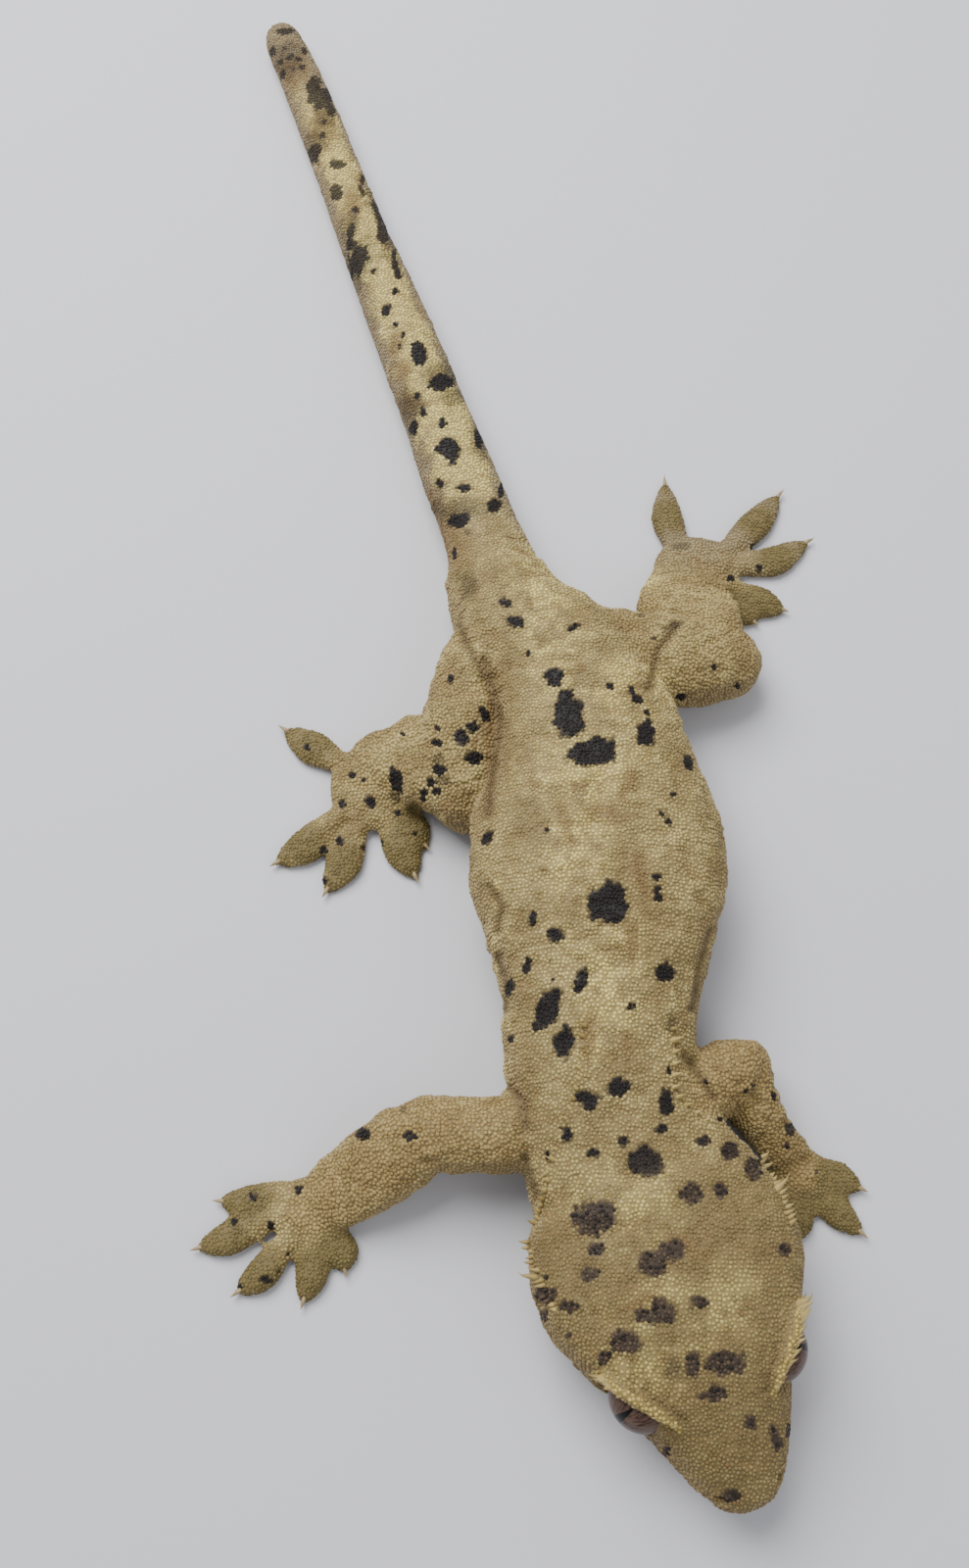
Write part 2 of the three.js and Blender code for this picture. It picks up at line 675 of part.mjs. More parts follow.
// Neck, trunk and tail, parted by cuts square to their run
function bodyNodes() {
  let whole = bodyRun.build(BODY_ROWS, BODY_SIDES).subtract(floor);
  const arm = limb("upper_arm_left", GAP);
  for (const made of neckSpines()) whole = whole.add(made.subtract(arm));
  whole = whole.subtract(before(HEAD_BACK + GAP));
  const cuts = BODY_CUTS.map(bodyShare);
  return BODY_NAMES.map((name, i) => {
    let made = whole;
    if (i > 0) made = made.intersect(half(cuts[i - 1], 1));
    if (i < cuts.length) made = made.intersect(half(cuts[i], -1));
    return node(name, made, name.startsWith("tail") ? COLOURS.tail : COLOURS.body);
  });
}

// A foot: a low sole with five leaf-shaped toes that end in a claw
function footSolid({ sole, toes, pad }) {
  const [x, y, wide, long, high] = sole;
  const ball = new THREE.SphereGeometry(1, SOLE_SIDES, SOLE_ROWS).rotateX(Math.PI / 2);
  let foot = solid(ball.scale(wide, long, high / 2 + PRESS).translate(x, y, high / 2 - PRESS));
  for (const [rootX, rootY, padX, padY, tipX, tipY] of toes) {
    const root = new THREE.Vector2(rootX, rootY);
    const middle = new THREE.Vector2(padX, padY);
    const tip = new THREE.Vector2(tipX, tipY);
    const marks = [
      root.clone().lerp(new THREE.Vector2(x, y), TOE_START),
      root,
      root.clone().lerp(middle, 0.5),
      middle,
      middle.clone().lerp(tip, CLAW_START),
      tip,
    ];
    const stations = marks.map((mark, i) => {
      const [share, top, under] = TOE_FORM[i];
      return [mark.x, mark.y, share * pad, top, under, 2];
    });
    foot = foot.add(new Run(stations).build(TOE_ROWS, TOE_SIDES));
  }
  return foot.subtract(floor);
}

// Arms and legs: each piece is trimmed by the grown form of what carries it
function limbNodes() {
  const trunk = new Run(BODY_STATIONS, GAP).build(BODY_ROWS, BODY_SIDES);
  const head = new Run(HEAD_PLACED, GAP).build(HEAD_ROWS, HEAD_SIDES);
  const made = [];
  for (const name of Object.keys(LIMBS)) {
    let piece = limb(name).subtract(floor).subtract(trunk).subtract(head);
    if (CARRIERS[name]) piece = piece.subtract(limb(CARRIERS[name], GAP));
    made.push(node(name, piece, COLOURS.limb));
  }
  for (const [name, foot] of Object.entries(FEET)) {
    const piece = footSolid(foot).subtract(limb(foot.from, GAP)).subtract(trunk).subtract(head);
    made.push(node(name, piece, COLOURS.pad));
  }
  return made;
}

const gecko = new THREE.Group();
const parts = [...headNodes(), ...bodyNodes(), ...limbNodes()];
for (const part of parts) gecko.add(part);

// The origin is the middle of the animal's outline, on the floor
const box = new THREE.Box3().setFromObject(gecko);
const middle = box.getCenter(new THREE.Vector3());
for (const part of parts) part.position.set(-middle.x, -middle.y, -box.min.z);

export default gecko;
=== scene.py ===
"""A crested gecko resting on a pale table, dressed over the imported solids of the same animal.

The animal's own sizes below are in millimetres, in a plan frame whose zero is near the shoulders.
PLAN_ORIGIN carries them to the shared frame, which is in metres.
"""

import logging  # noqa: E402
import math  # noqa: E402
from dataclasses import dataclass, field  # noqa: E402
from enum import Enum  # noqa: E402

import bmesh  # noqa: E402
import bpy  # noqa: E402
import numpy as np  # noqa: E402
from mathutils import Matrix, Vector, noise  # noqa: E402


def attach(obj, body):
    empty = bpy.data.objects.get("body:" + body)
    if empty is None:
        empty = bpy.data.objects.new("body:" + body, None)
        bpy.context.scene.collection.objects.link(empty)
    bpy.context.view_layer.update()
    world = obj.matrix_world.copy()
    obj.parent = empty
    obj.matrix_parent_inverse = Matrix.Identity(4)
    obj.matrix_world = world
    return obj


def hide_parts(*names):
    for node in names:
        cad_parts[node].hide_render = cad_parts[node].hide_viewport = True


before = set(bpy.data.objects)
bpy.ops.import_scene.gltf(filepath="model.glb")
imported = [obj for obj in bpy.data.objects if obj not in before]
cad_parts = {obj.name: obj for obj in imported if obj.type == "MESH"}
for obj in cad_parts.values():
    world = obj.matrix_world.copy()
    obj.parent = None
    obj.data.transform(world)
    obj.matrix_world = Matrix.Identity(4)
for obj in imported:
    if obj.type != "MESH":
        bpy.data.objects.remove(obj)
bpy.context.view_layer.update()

LOG = logging.getLogger("gecko")

MM = 0.001
PLAN_ORIGIN = np.array([4.7294, 19.9781, 0.0])
BODY = "root"
SEED = 11

Six = tuple[float, float, float, float, float, float]
Station = Six
Three = tuple[float, float, float]
Tone = Three
Line = tuple[tuple[float, float], ...]
Mark = tuple[int, ...]
Root = tuple[np.ndarray, np.ndarray, float]
Socket = bpy.types.NodeSocket


class Slot(Enum):
    """Material slots of the record; the pieces built here don't use them."""

    HEAD = "head_skin"
    BODY = "body_skin"
    TAIL = "tail_skin"
    LIMB = "limb_skin"
    TOE = "toe_skin"
    EYE = "eye"
    CLAW = "claw"


# Sizes of the animal

SNOUT_TIP = np.array([25.5, -75.4])
HEAD_TURN = math.radians(19)
NAPE_WAY = np.array([-math.sin(HEAD_TURN), math.cos(HEAD_TURN)])
LEFT_WAY = np.array([math.cos(HEAD_TURN), math.sin(HEAD_TURN)])

# How deep the flat underside is pressed below the table before it is cut, and how round undersides are
PRESS = 0.35
UNDER_POWER = 0.9

# Distance from the snout tip, half width, top, underside, squareness
HEAD_STATIONS = [
    (-0.3, 0, 6.2, 6.2, 2),
    (0.4, 2.3, 7.9, 4.4, 2),
    (2, 3.8, 9.2, 2.9, 2.1),
    (4.5, 5.3, 10.4, 1.8, 2.2),
    (8, 6.9, 11.8, 1.0, 2.4),
    (12, 8.8, 13.2, 0.4, 3.2),
    (16, 11.1, 13.9, 0, 3.4),
    (20, 13.1, 14.2, -PRESS, 3.0),
    (24, 13.6, 14.4, -PRESS, 2.7),
    (27.5, 12.8, 14.2, -PRESS, 2.5),
    (31, 10.9, 13.8, -PRESS, 2.4),
    (34, 0, 7, 7, 2.2),
]

# Centre x, centre y, half width, top, underside, squareness
BODY_STATIONS: list[Station] = [
    (20.0, -56.5, 0, 7, 7, 2.2),
    (18.8, -54.0, 10.5, 12.6, -PRESS, 2.3),
    (16.7, -48.6, 12.1, 13.8, -PRESS, 2.3),
    (14.4, -43.5, 10.6, 13.7, -PRESS, 2.3),
    (12.5, -38.5, 9.9, 14.4, -PRESS, 2.3),
    (11.9, -33.0, 9.9, 15.1, -PRESS, 2.3),
    (12.1, -27.0, 10.4, 15.7, -PRESS, 2.3),
    (12.3, -21.0, 12.1, 16.3, -PRESS, 2.3),
    (12.3, -14.5, 13.8, 16.6, -PRESS, 2.3),
    (12.1, -7.5, 13.4, 16.5, -PRESS, 2.3),
    (11.9, -1.0, 11.4, 16.0, -PRESS, 2.3),
    (10.8, 5.5, 10.1, 15.2, -PRESS, 2.3),
    (8.0, 12.0, 8.8, 14.1, -PRESS, 2.3),
    (3.7, 18.0, 7.2, 12.7, -PRESS, 2.2),
    (1.5, 23.0, 6.0, 11.2, -PRESS, 2.2),
    (0.5, 27.6, 5.0, 9.8, -PRESS, 2.2),
    (-0.9, 32.5, 4.5, 8.9, -PRESS, 2.2),
    (-3.5, 40.1, 4.5, 8.3, -PRESS, 2.2),
    (-6.3, 48.7, 4.1, 7.7, -PRESS, 2.2),
    (-9.3, 57.6, 4.0, 7.3, -PRESS, 2.2),
    (-12.6, 66.9, 3.7, 6.8, -PRESS, 2.2),
    (-16.0, 76.5, 3.3, 6.2, -PRESS, 2.2),
    (-19.3, 86.4, 3.1, 5.8, -PRESS, 2.2),
    (-22.8, 96.7, 3.0, 5.4, -PRESS, 2.2),
    (-26.3, 106.5, 2.8, 5.0, -PRESS, 2.2),
    (-28.9, 113.2, 2.4, 4.3, -PRESS, 2.2),
    (-29.9, 115.9, 0, 2, 2, 2),
]

LIMBS: dict[str, list[Station]] = {
    "upper_arm_right": [
        (8.0, -41.2, 0, 6, 6, 2),
        (6.0, -40.4, 3.9, 11.2, 3.2, 2),
        (0.5, -41.1, 3.7, 11.2, 2.8, 2.1),
        (-4.5, -40.9, 3.9, 10.2, 2.2, 2.1),
        (-7.6, -40.8, 3.5, 9.0, 2.0, 2),
        (-10.4, -41.6, 0, 5.5, 5.5, 2),
    ],
    "forearm_right": [
        (-4.6, -39.8, 0, 6, 6, 2),
        (-7.0, -41.4, 4.0, 9.2, 2.0, 2),
        (-11.0, -43.9, 4.3, 7.6, 1.0, 2.1),
        (-14.6, -46.0, 3.8, 5.2, 0.4, 2.1),
        (-17.0, -47.3, 3.2, 3.4, 0.2, 2),
        (-18.8, -48.2, 0, 1.6, 1.6, 2),
    ],
    "upper_arm_left": [
        (14.0, -37.4, 0, 6, 6, 2),
        (16.0, -37.8, 3.2, 11.0, 3.2, 2),
        (20.6, -37.7, 3.2, 11.0, 2.8, 2.1),
        (24.4, -35.4, 3.7, 10.8, 2.4, 2.1),
        (27.2, -34.3, 3.3, 10.2, 2.2, 2),
        (29.4, -33.9, 0, 6, 6, 2),
    ],
    "forearm_left": [
        (25.2, -31.6, 0, 6, 6, 2),
        (26.2, -33.4, 3.3, 10.4, 2.2, 2),
        (28.1, -37.6, 2.8, 8.4, 1.2, 2.1),
        (30.4, -40.8, 2.4, 5.6, 0.5, 2.1),
        (32.4, -42.9, 2.2, 3.4, 0.2, 2),
        (33.2, -44.0, 0, 1.6, 1.6, 2),
    ],
    "thigh_right": [
        (3.8, 18.0, 0, 7, 7, 2),
        (2.2, 16.2, 4.0, 11.0, 3.2, 2),
        (-0.8, 10.8, 4.8, 11.2, 2.4, 2.1),
        (-2.2, 4.4, 4.8, 10.8, 1.6, 2.2),
        (-2.2, -2.0, 4.4, 9.4, 0.8, 2.2),
        (-2.0, -5.7, 3.2, 7.8, 1.2, 2.1),
        (-1.9, -7.7, 0, 4.2, 4.2, 2),
    ],
    "shank_right": [
        (-2.0, -3.6, 0, 4.6, 4.6, 2),
        (-3.2, -2.6, 3.8, 7.6, 0.8, 2.1),
        (-5.2, 0.5, 6.1, 7.8, -PRESS, 2.2),
        (-8.2, 1.7, 5.5, 6.6, -PRESS, 2.2),
        (-11.4, 1.7, 4.2, 4.6, -PRESS, 2.2),
        (-14.0, 0.9, 3.4, 3.2, -PRESS, 2.1),
        (-15.6, 0.1, 0, 1.4, 1.4, 2),
    ],
    "thigh_left": [
        (9.0, 17.5, 0, 7, 7, 2),
        (11.0, 15.7, 3.5, 11.4, 3.2, 2),
        (17.5, 13.3, 5.0, 11.2, 2.4, 2.1),
        (22.8, 12.9, 5.3, 10.4, 1.6, 2.2),
        (27.6, 13.4, 4.6, 9.0, 0.8, 2.2),
        (30.9, 13.8, 3.3, 7.4, 1.2, 2.1),
        (32.8, 14.0, 0, 4.2, 4.2, 2),
    ],
    "shank_left": [
        (28.6, 13.2, 0, 4.6, 4.6, 2),
        (27.8, 14.4, 3.6, 7.6, 0.8, 2.1),
        (25.4, 17.6, 5.7, 7.8, -PRESS, 2.2),
        (24.4, 20.8, 6.3, 6.6, -PRESS, 2.2),
        (24.9, 24.0, 5.6, 4.6, -PRESS, 2.2),
        (25.8, 26.8, 4.4, 3.2, -PRESS, 2.1),
        (26.6, 29.0, 0, 1.4, 1.4, 2),
    ],
}


@dataclass(frozen=True)
class Foot:
    """A sole and five toes: each toe has its root, the middle of its pad and its claw tip."""

    sole: tuple[float, float, float, float, float]
    pad: float
    toes: tuple[Six, ...]


FEET = {
    "hand_right": Foot(
        (-18.4, -48.1, 4.0, 3.6, 2.6),
        1.85,
        (
            (-20.6, -46.0, -24.8, -47.2, -28.2, -47.0),
            (-22.0, -48.8, -26.6, -50.8, -30.2, -51.9),
            (-20.3, -50.8, -22.9, -54.3, -25.8, -56.4),
            (-17.8, -51.0, -17.8, -54.4, -18.7, -57.5),
            (-15.6, -49.8, -14.7, -52.2, -14.3, -54.4),
        ),
    ),
    "hand_left": Foot(
        (33.2, -44.5, 3.2, 3.0, 2.6),
        1.75,
        (
            (35.0, -43.6, 37.2, -44.6, 40.0, -46.0),
            (34.6, -45.7, 36.9, -48.2, 39.6, -50.6),
            (33.0, -46.8, 32.6, -49.2, 32.2, -51.4),
            (31.6, -46.6, 30.2, -49.2, 29.0, -51.6),
            (30.8, -44.8, 28.6, -46.2, 26.6, -47.2),
        ),
    ),
    "foot_right": Foot(
        (-13.8, -1.0, 4.1, 5.3, 3.0),
        2.2,
        (
            (-16.8, 2.3, -20.2, 4.3, -24.0, 6.9),
            (-17.2, -4.6, -20.5, -8.0, -24.2, -10.2),
            (-14.6, -5.6, -16.0, -10.0, -18.2, -13.8),
            (-11.2, -5.4, -9.3, -8.6, -7.6, -12.0),
            (-10.2, -3.8, -8.2, -6.0, -6.4, -8.2),
        ),
    ),
    "foot_left": Foot(
        (26.0, 27.6, 5.4, 4.6, 3.0),
        2.1,
        (
            (24.0, 30.0, 22.8, 35.0, 22.7, 41.0),
            (29.7, 30.2, 33.7, 34.3, 37.4, 39.1),
            (31.2, 28.2, 35.8, 29.2, 40.6, 32.2),
            (30.8, 25.0, 33.9, 23.3, 36.8, 22.2),
            (29.2, 24.0, 31.4, 22.2, 33.0, 20.4),
        ),
    ),
}

# The line of the mouth, and the distance behind the snout where it ends
MOUTH_FRONT_Z = 5.2
MOUTH_BACK_Z = 6.0
MOUTH_CORNER = 17.5
MOUTH_START = -2

EYE_RADIUS = 3.4
EYE_BACK = 12.6
EYE_OUT = 6.6
EYE_Z = 8.7
GAZE_AHEAD = 0.33
GAZE_UP = 0.14

# The hollow of each eye: distance back, out and up, and its radius
ORBIT = (12.2, 10.7, 8.8)
ORBIT_RADIUS = 3.0

# The brow: distance from the snout, distance out and half width at each stop
BROW_STOPS = [
    (9.0, 4.4, 0),
    (9.5, 4.8, 0.45),
    (10.6, 5.7, 0.75),
    (11.8, 6.8, 0.85),
    (13.0, 7.8, 0.9),
    (14.2, 8.8, 0.85),
    (14.9, 9.3, 0.7),
    (15.5, 9.7, 0.5),
    (15.9, 9.95, 0),
]
# How far a brow's line stands over the crown, and its thickness over and under that line
BROW_LIFT = 0.25
BROW_OVER = 0.7
BROW_UNDER = 0.9

# Stations of a toe: half width as a share of the pad's, top and underside
TOE_FORM = [
    (0, 2.6, -PRESS),
    (0.52, 2.3, -PRESS),
    (0.86, 1.95, -PRESS),
    (1, 1.9, -PRESS),
    (0.66, 1.5, -PRESS),
    (0, 0.7, 0.3),
]
# How far a toe's root starts inside the sole, and where its claw begins past the pad
TOE_START = 0.45
CLAW_START = 0.54

NECK_CREST = {
    -1: [(4.9, -50.4), (5.7, -47.4), (7.4, -42.2), (9.2, -37.1), (9.9, -31.5)],
    1: [(29.4, -48.4), (27.3, -44.6), (23.2, -41.8), (18.8, -37.8), (18.9, -31.5)],
}


def in_head(back: float, out: float, z: float) -> np.ndarray:
    """A point given by its distance behind the snout, out to the animal's left, and height."""
    flat = SNOUT_TIP + NAPE_WAY * back + LEFT_WAY * out
    return np.array([flat[0], flat[1], z])


def head_place(points: np.ndarray) -> tuple[np.ndarray, np.ndarray]:
    """Distances behind the snout tip and out to the animal's left.

    Args:
        points: plan points in millimetres, one a row.

    Returns:
        The two distances, one value a point.
    """
    rel = points[:, :2] - SNOUT_TIP
    return rel @ NAPE_WAY, rel @ LEFT_WAY


def to_frame(points: np.ndarray) -> np.ndarray:
    """Plan millimetres to frame metres."""
    return (points - PLAN_ORIGIN) * MM


def to_plan(points: np.ndarray) -> np.ndarray:
    """Frame metres to plan millimetres."""
    return points / MM + PLAN_ORIGIN


def head_way(out: float, nape: float, up: float) -> np.ndarray:
    """A way of length one, from its parts to the animal's left, to the nape and up."""
    way = np.array([*(LEFT_WAY * out + NAPE_WAY * nape), up])
    return way / np.linalg.norm(way)


def gaze_of(side: int) -> Vector:
    """The way an eye looks: out to its side, a little ahead and up."""
    way = side * LEFT_WAY - GAZE_AHEAD * NAPE_WAY
    return Vector((way[0], way[1], GAZE_UP)).normalized()


def mouth_z(back: np.ndarray) -> np.ndarray:
    """Height of the line of the mouth at a distance behind the snout."""
    return MOUTH_FRONT_Z + (MOUTH_BACK_Z - MOUTH_FRONT_Z) * back / MOUTH_CORNER


class Run:
    """Sections laid along a smooth line, as a trunk, tail, limb or toe is."""

    line_pull = 0.5
    size_pull = 0.4
    least_square = 1.6

    def __init__(self, stations: list[Station]) -> None:
        """Keeps the line of centres and the sizes at each station.

        Args:
            stations: centre x and y, half width, top, underside and squareness of each.
        """
        table = np.array(stations, float)
        self.centres = np.column_stack([table[:, 0], table[:, 1], (table[:, 3] + table[:, 4]) / 2])
        self.forms = np.column_stack([table[:, 2], (table[:, 3] - table[:, 4]) / 2, table[:, 5]])

    def line(self, share: np.ndarray) -> tuple[np.ndarray, np.ndarray]:
        """Centres and slopes at shares of the run, 0 to 1."""
        return self.spline(self.centres, share, self.line_pull)

    def sizes(self, share: np.ndarray) -> np.ndarray:
        """Half width, half height and squareness at shares of the run, 0 to 1."""
        return self.spline(self.forms, share, self.size_pull)[0]

    @staticmethod
    def spline(values: np.ndarray, share: np.ndarray, pull: float) -> tuple[np.ndarray, np.ndarray]:
        """The smooth curve through rows of values.

        Args:
            values: the rows that the curve passes through.
            share: how far along the rows, 0 to 1.
            pull: how strongly the curve turns towards its neighbours.

        Returns:
            The values and their slopes, one row a share.
        """
        padded = np.vstack([2 * values[0] - values[1], values, 2 * values[-1] - values[-2]])
        place = np.clip(share, 0, 1) * (len(values) - 1)
        index = np.minimum(place.astype(int), len(values) - 2)
        t = (place - index)[:, None]
        before, start, end, after = (padded[index + k] for k in range(4))
        lead, trail = pull * (end - before), pull * (after - start)
        c2 = -3 * start + 3 * end - 2 * lead - trail
        c3 = 2 * start - 2 * end + lead + trail
        return start + lead * t + c2 * t**2 + c3 * t**3, lead + 2 * c2 * t + 3 * c3 * t**2

    def points(self, share: np.ndarray, angle: np.ndarray) -> np.ndarray:
        """Surface points at shares of the run and angles round it.

        Args:
            share: how far along the run, 0 to 1.
            angle: angle round the section, 0 out to one side and a right angle on top.

        Returns:
            Plan points in millimetres, one a row.
        """
        centre, slope = self.line(share)
        form = self.sizes(share)
        along = slope[:, :2] / np.linalg.norm(slope[:, :2], axis=1)[:, None]
        side = np.column_stack([along[:, 1], -along[:, 0]])
        half, rise = np.maximum(form[:, 0], 0), np.maximum(form[:, 1], 0)
        power = 2 / np.maximum(form[:, 2], self.least_square)
        c, s = np.cos(angle), np.sin(angle)
        bend = np.where(s > 0, power, UNDER_POWER)
        out = half * np.sign(c) * np.abs(c) ** bend
        up = rise * np.sign(s) * np.abs(s) ** bend
        flat = centre[:, :2] + side * out[:, None]
        return np.column_stack([flat, centre[:, 2] + up])

    def height(self, share: float, out: float) -> float:
        """Height of the upper surface.

        Args:
            share: how far along the run, 0 to 1.
            out: how far out from the middle of the run, in millimetres.

        Returns:
            The height in millimetres.
        """
        middle = self.line(np.array([share]))[0][0, 2]
        half, rise, square = self.sizes(np.array([share]))[0]
        ratio = min(abs(out) / half, 0.98)
        return middle + rise * (1 - ratio**square) ** (1 / square)

    def mesh(self, rows: int, sides: int) -> bmesh.types.BMesh:
        """A closed mesh of the run, from a sphere's grid laid along it.

        Args:
            rows: rings along the run.
            sides: points round each ring.

        Returns:
            A new bmesh in plan millimetres.
        """
        bm = bmesh.new()
        bmesh.ops.create_uvsphere(bm, u_segments=sides, v_segments=rows, radius=1)
        ball = np.array([v.co for v in bm.verts])
        share = np.arccos(np.clip(ball[:, 2], -1, 1)) / math.pi
        angle = np.arctan2(ball[:, 1], ball[:, 0])
        for vert, place in zip(bm.verts, self.points(share, angle)):
            vert.co = place
        bmesh.ops.recalc_face_normals(bm, faces=bm.faces)
        return bm


def head_run() -> Run:
    """The head's run in the plan frame.

    Returns:
        A new run, from the snout back.
    """
    stations = []
    for back, half, top, under, square in HEAD_STATIONS:
        at = in_head(back, 0, 0)
        stations.append((at[0], at[1], half, top, under, square))
    return Run(stations)


def head_share(back: float) -> float:
    """The share of the head's run at a distance behind the snout."""
    stops = [station[0] for station in HEAD_STATIONS]
    return float(np.interp(back, stops, np.linspace(0, 1, len(stops))))


def brow_run(side: int) -> Run:
    """The brow over one eye, resting on the edge of the crown.

    Args:
        side: -1 for the animal's right, 1 for its left.

    Returns:
        A new run, from the front of the brow back.
    """
    crown = head_run()
    stations = []
    for back, out, half in BROW_STOPS:
        at = in_head(back, side * out, 0)
        z = crown.height(head_share(back), out - half) + BROW_LIFT
        stations.append((at[0], at[1], half, z + half * BROW_OVER, z - half * BROW_UNDER, 2))
    return Run(stations)


def toe_stations(foot: Foot, toe: Six) -> list[Station]:
    """Stations of one leaf-shaped toe, from inside the sole to the claw.

    Args:
        foot: the toe's foot.
        toe: root, middle of the pad and claw tip.

    Returns:
        Six stations.
    """
    root, pad, tip = (np.array(toe[k : k + 2]) for k in (0, 2, 4))
    start = root + (np.array(foot.sole[:2]) - root) * TOE_START
    marks = [start, root, (root + pad) / 2, pad, pad + (tip - pad) * CLAW_START, tip]
    return [(m[0], m[1], foot.pad * half, top, under, 2) for m, (half, top, under) in zip(marks, TOE_FORM)]


def join(target: bmesh.types.BMesh, extra: bmesh.types.BMesh) -> None:
    """Adds one bmesh to another.

    Args:
        target: the bmesh that grows.
        extra: the bmesh that is added; freed here.
    """
    scrap = bpy.data.meshes.new("scrap")
    extra.to_mesh(scrap)
    extra.free()
    target.from_mesh(scrap)
    bpy.data.meshes.remove(scrap)


def vectors(source: bpy.types.bpy_prop_collection, name: str) -> np.ndarray:
    """One property of every item of a collection.

    Args:
        source: vertices, normals or attribute values.
        name: the property, which has three numbers.

    Returns:
        One row an item.
    """
    flat = np.empty(len(source) * 3)
    source.foreach_get(name, flat)
    return flat.reshape(-1, 3)


def coords(mesh: bpy.types.Mesh) -> np.ndarray:
    """All vertex places of a mesh, one a row."""
    return vectors(mesh.vertices, "co")


def normals(mesh: bpy.types.Mesh) -> np.ndarray:
    """All vertex normals of a mesh, one a row."""
    return vectors(mesh.vertex_normals, "vector")


def set_coords(mesh: bpy.types.Mesh, places: np.ndarray) -> None:
    """Writes all vertex places back to a mesh."""
    mesh.vertices.foreach_set("co", places.astype(np.float32).ravel())
    mesh.update()


def float_attribute(mesh: bpy.types.Mesh, name: str, values: np.ndarray) -> None:
    """Stores one number for each vertex under a name that materials read."""
    layer = mesh.attributes.get(name) or mesh.attributes.new(name, "FLOAT", "POINT")
    layer.data.foreach_set("value", values.astype(np.float32))


def noise_at(points: np.ndarray, size: float, shift: float = 0.0) -> np.ndarray:
    """Smooth noise from -1 to 1 at each point.

    Args:
        points: places in millimetres.
        size: size of the blotches in millimetres.
        shift: moves to another part of the noise.

    Returns:
        One value a point.
    """
    scaled = points / size + shift
    return np.array([noise.noise(p) for p in map(Vector, scaled.tolist())])


def bump_at(distance: np.ndarray, width: float) -> np.ndarray:
    """1 at no distance, falling smoothly to 0 over about twice the width."""
    return np.exp(-((distance / width) ** 2))


def smooth_step(low: float, high: float, value: np.ndarray) -> np.ndarray:
    """0 below low, 1 above high and a smooth ramp between."""
    t = np.clip((value - low) / (high - low), 0, 1)
    return t * t * (3 - 2 * t)


# The camera that the markings and the view share


@dataclass(frozen=True)
class View:
    """A camera close above the animal, tipped back a little from straight down."""

    tilt: float = math.radians(21)
    focal_px: float = 1500
    height: float = 160
    wide_px: int = 989
    high_px: int = 1600
    half_up: float = 8
    sensor_mm: float = 36
    near_m: float = 0.005

    def place(self) -> np.ndarray:
        """Where the camera stands in plan millimetres."""
        return np.array([0, -self.height * math.tan(self.tilt), self.height])

    def pixels(self, points: np.ndarray) -> np.ndarray:
        """Picture coordinates of plan points.

        Args:
            points: places in plan millimetres.

        Returns:
            Pixels right and down from the top left corner, one row a point.
        """
        rel = points - self.place()
        ahead = np.array([0, math.sin(self.tilt), -math.cos(self.tilt)])
        up = np.array([0, math.cos(self.tilt), math.sin(self.tilt)])
        depth = rel @ ahead
        across = self.wide_px / 2 + self.focal_px * rel[:, 0] / depth
        down = self.high_px / 2 - self.focal_px * (rel @ up) / depth
        return np.column_stack([across, down])

    def scale(self) -> float:
        """Pixels for each millimetre, about half way up the animal."""
        return self.focal_px / ((self.height - self.half_up) / math.cos(self.tilt))

    def build(self) -> None:
        """Makes the camera and sets it as the scene's own."""
        data = bpy.data.cameras.new("view")
        data.sensor_width = self.sensor_mm
        data.lens = self.focal_px / self.high_px * self.sensor_mm
        data.clip_start = self.near_m
        camera = bpy.data.objects.new("view", data)
        bpy.context.scene.collection.objects.link(camera)
        camera.location = to_frame(self.place())
        camera.rotation_euler = (self.tilt, 0, 0)
        bpy.context.scene.camera = camera


VIEW = View()

# Dark spots, read from the picture: across, down, width, height, and lean in degrees if any
SPOTS_TAIL = [
    (291, 33, 22, 9), (279, 53, 6, 11), (290, 50, 6, 5), (296, 58, 9, 8), (305, 60, 9, 6), (287, 63, 6, 6),
    (308, 69, 6, 6), (289, 76, 6, 9), (299, 71, 5, 5), (310, 52, 6, 8), (321, 90, 17, 22),
    (327, 100, 26, 24), (337, 112, 9, 16, -20), (320, 157, 14, 24, 20), (329, 138, 5, 8), (331, 124, 6, 8),
    (344, 168, 18, 9), (369, 196, 7, 14, -20), (386, 215, 12, 26, -20), (391, 238, 12, 20, -15),
    (358, 236, 8, 18, 10), (404, 274, 7, 22, -15), (359, 250, 12, 14), (381, 277, 6, 6), (426, 404, 9, 9),
    (462, 472, 10, 8), (343, 196, 14, 18), (362, 214, 8, 8), (370, 184, 5, 10), (387, 222, 5, 20, -15),
    (402, 260, 5, 12), (366, 265, 20, 40, 15), (403, 297, 8, 8), (395, 316, 11, 15), (404, 332, 5, 6),
    (411, 342, 5, 6), (408, 353, 5, 6), (428, 361, 16, 25, -20), (450, 391, 28, 22), (432, 421, 8, 12),
    (422, 436, 9, 17), (451, 431, 9, 12), (458, 458, 25, 24), (488, 448, 9, 22), (449, 493, 9, 10),
    (474, 498, 15, 8), (504, 516, 18, 15), (511, 501, 6, 18), (469, 531, 24, 16, -10), (464, 566, 5, 13),
]
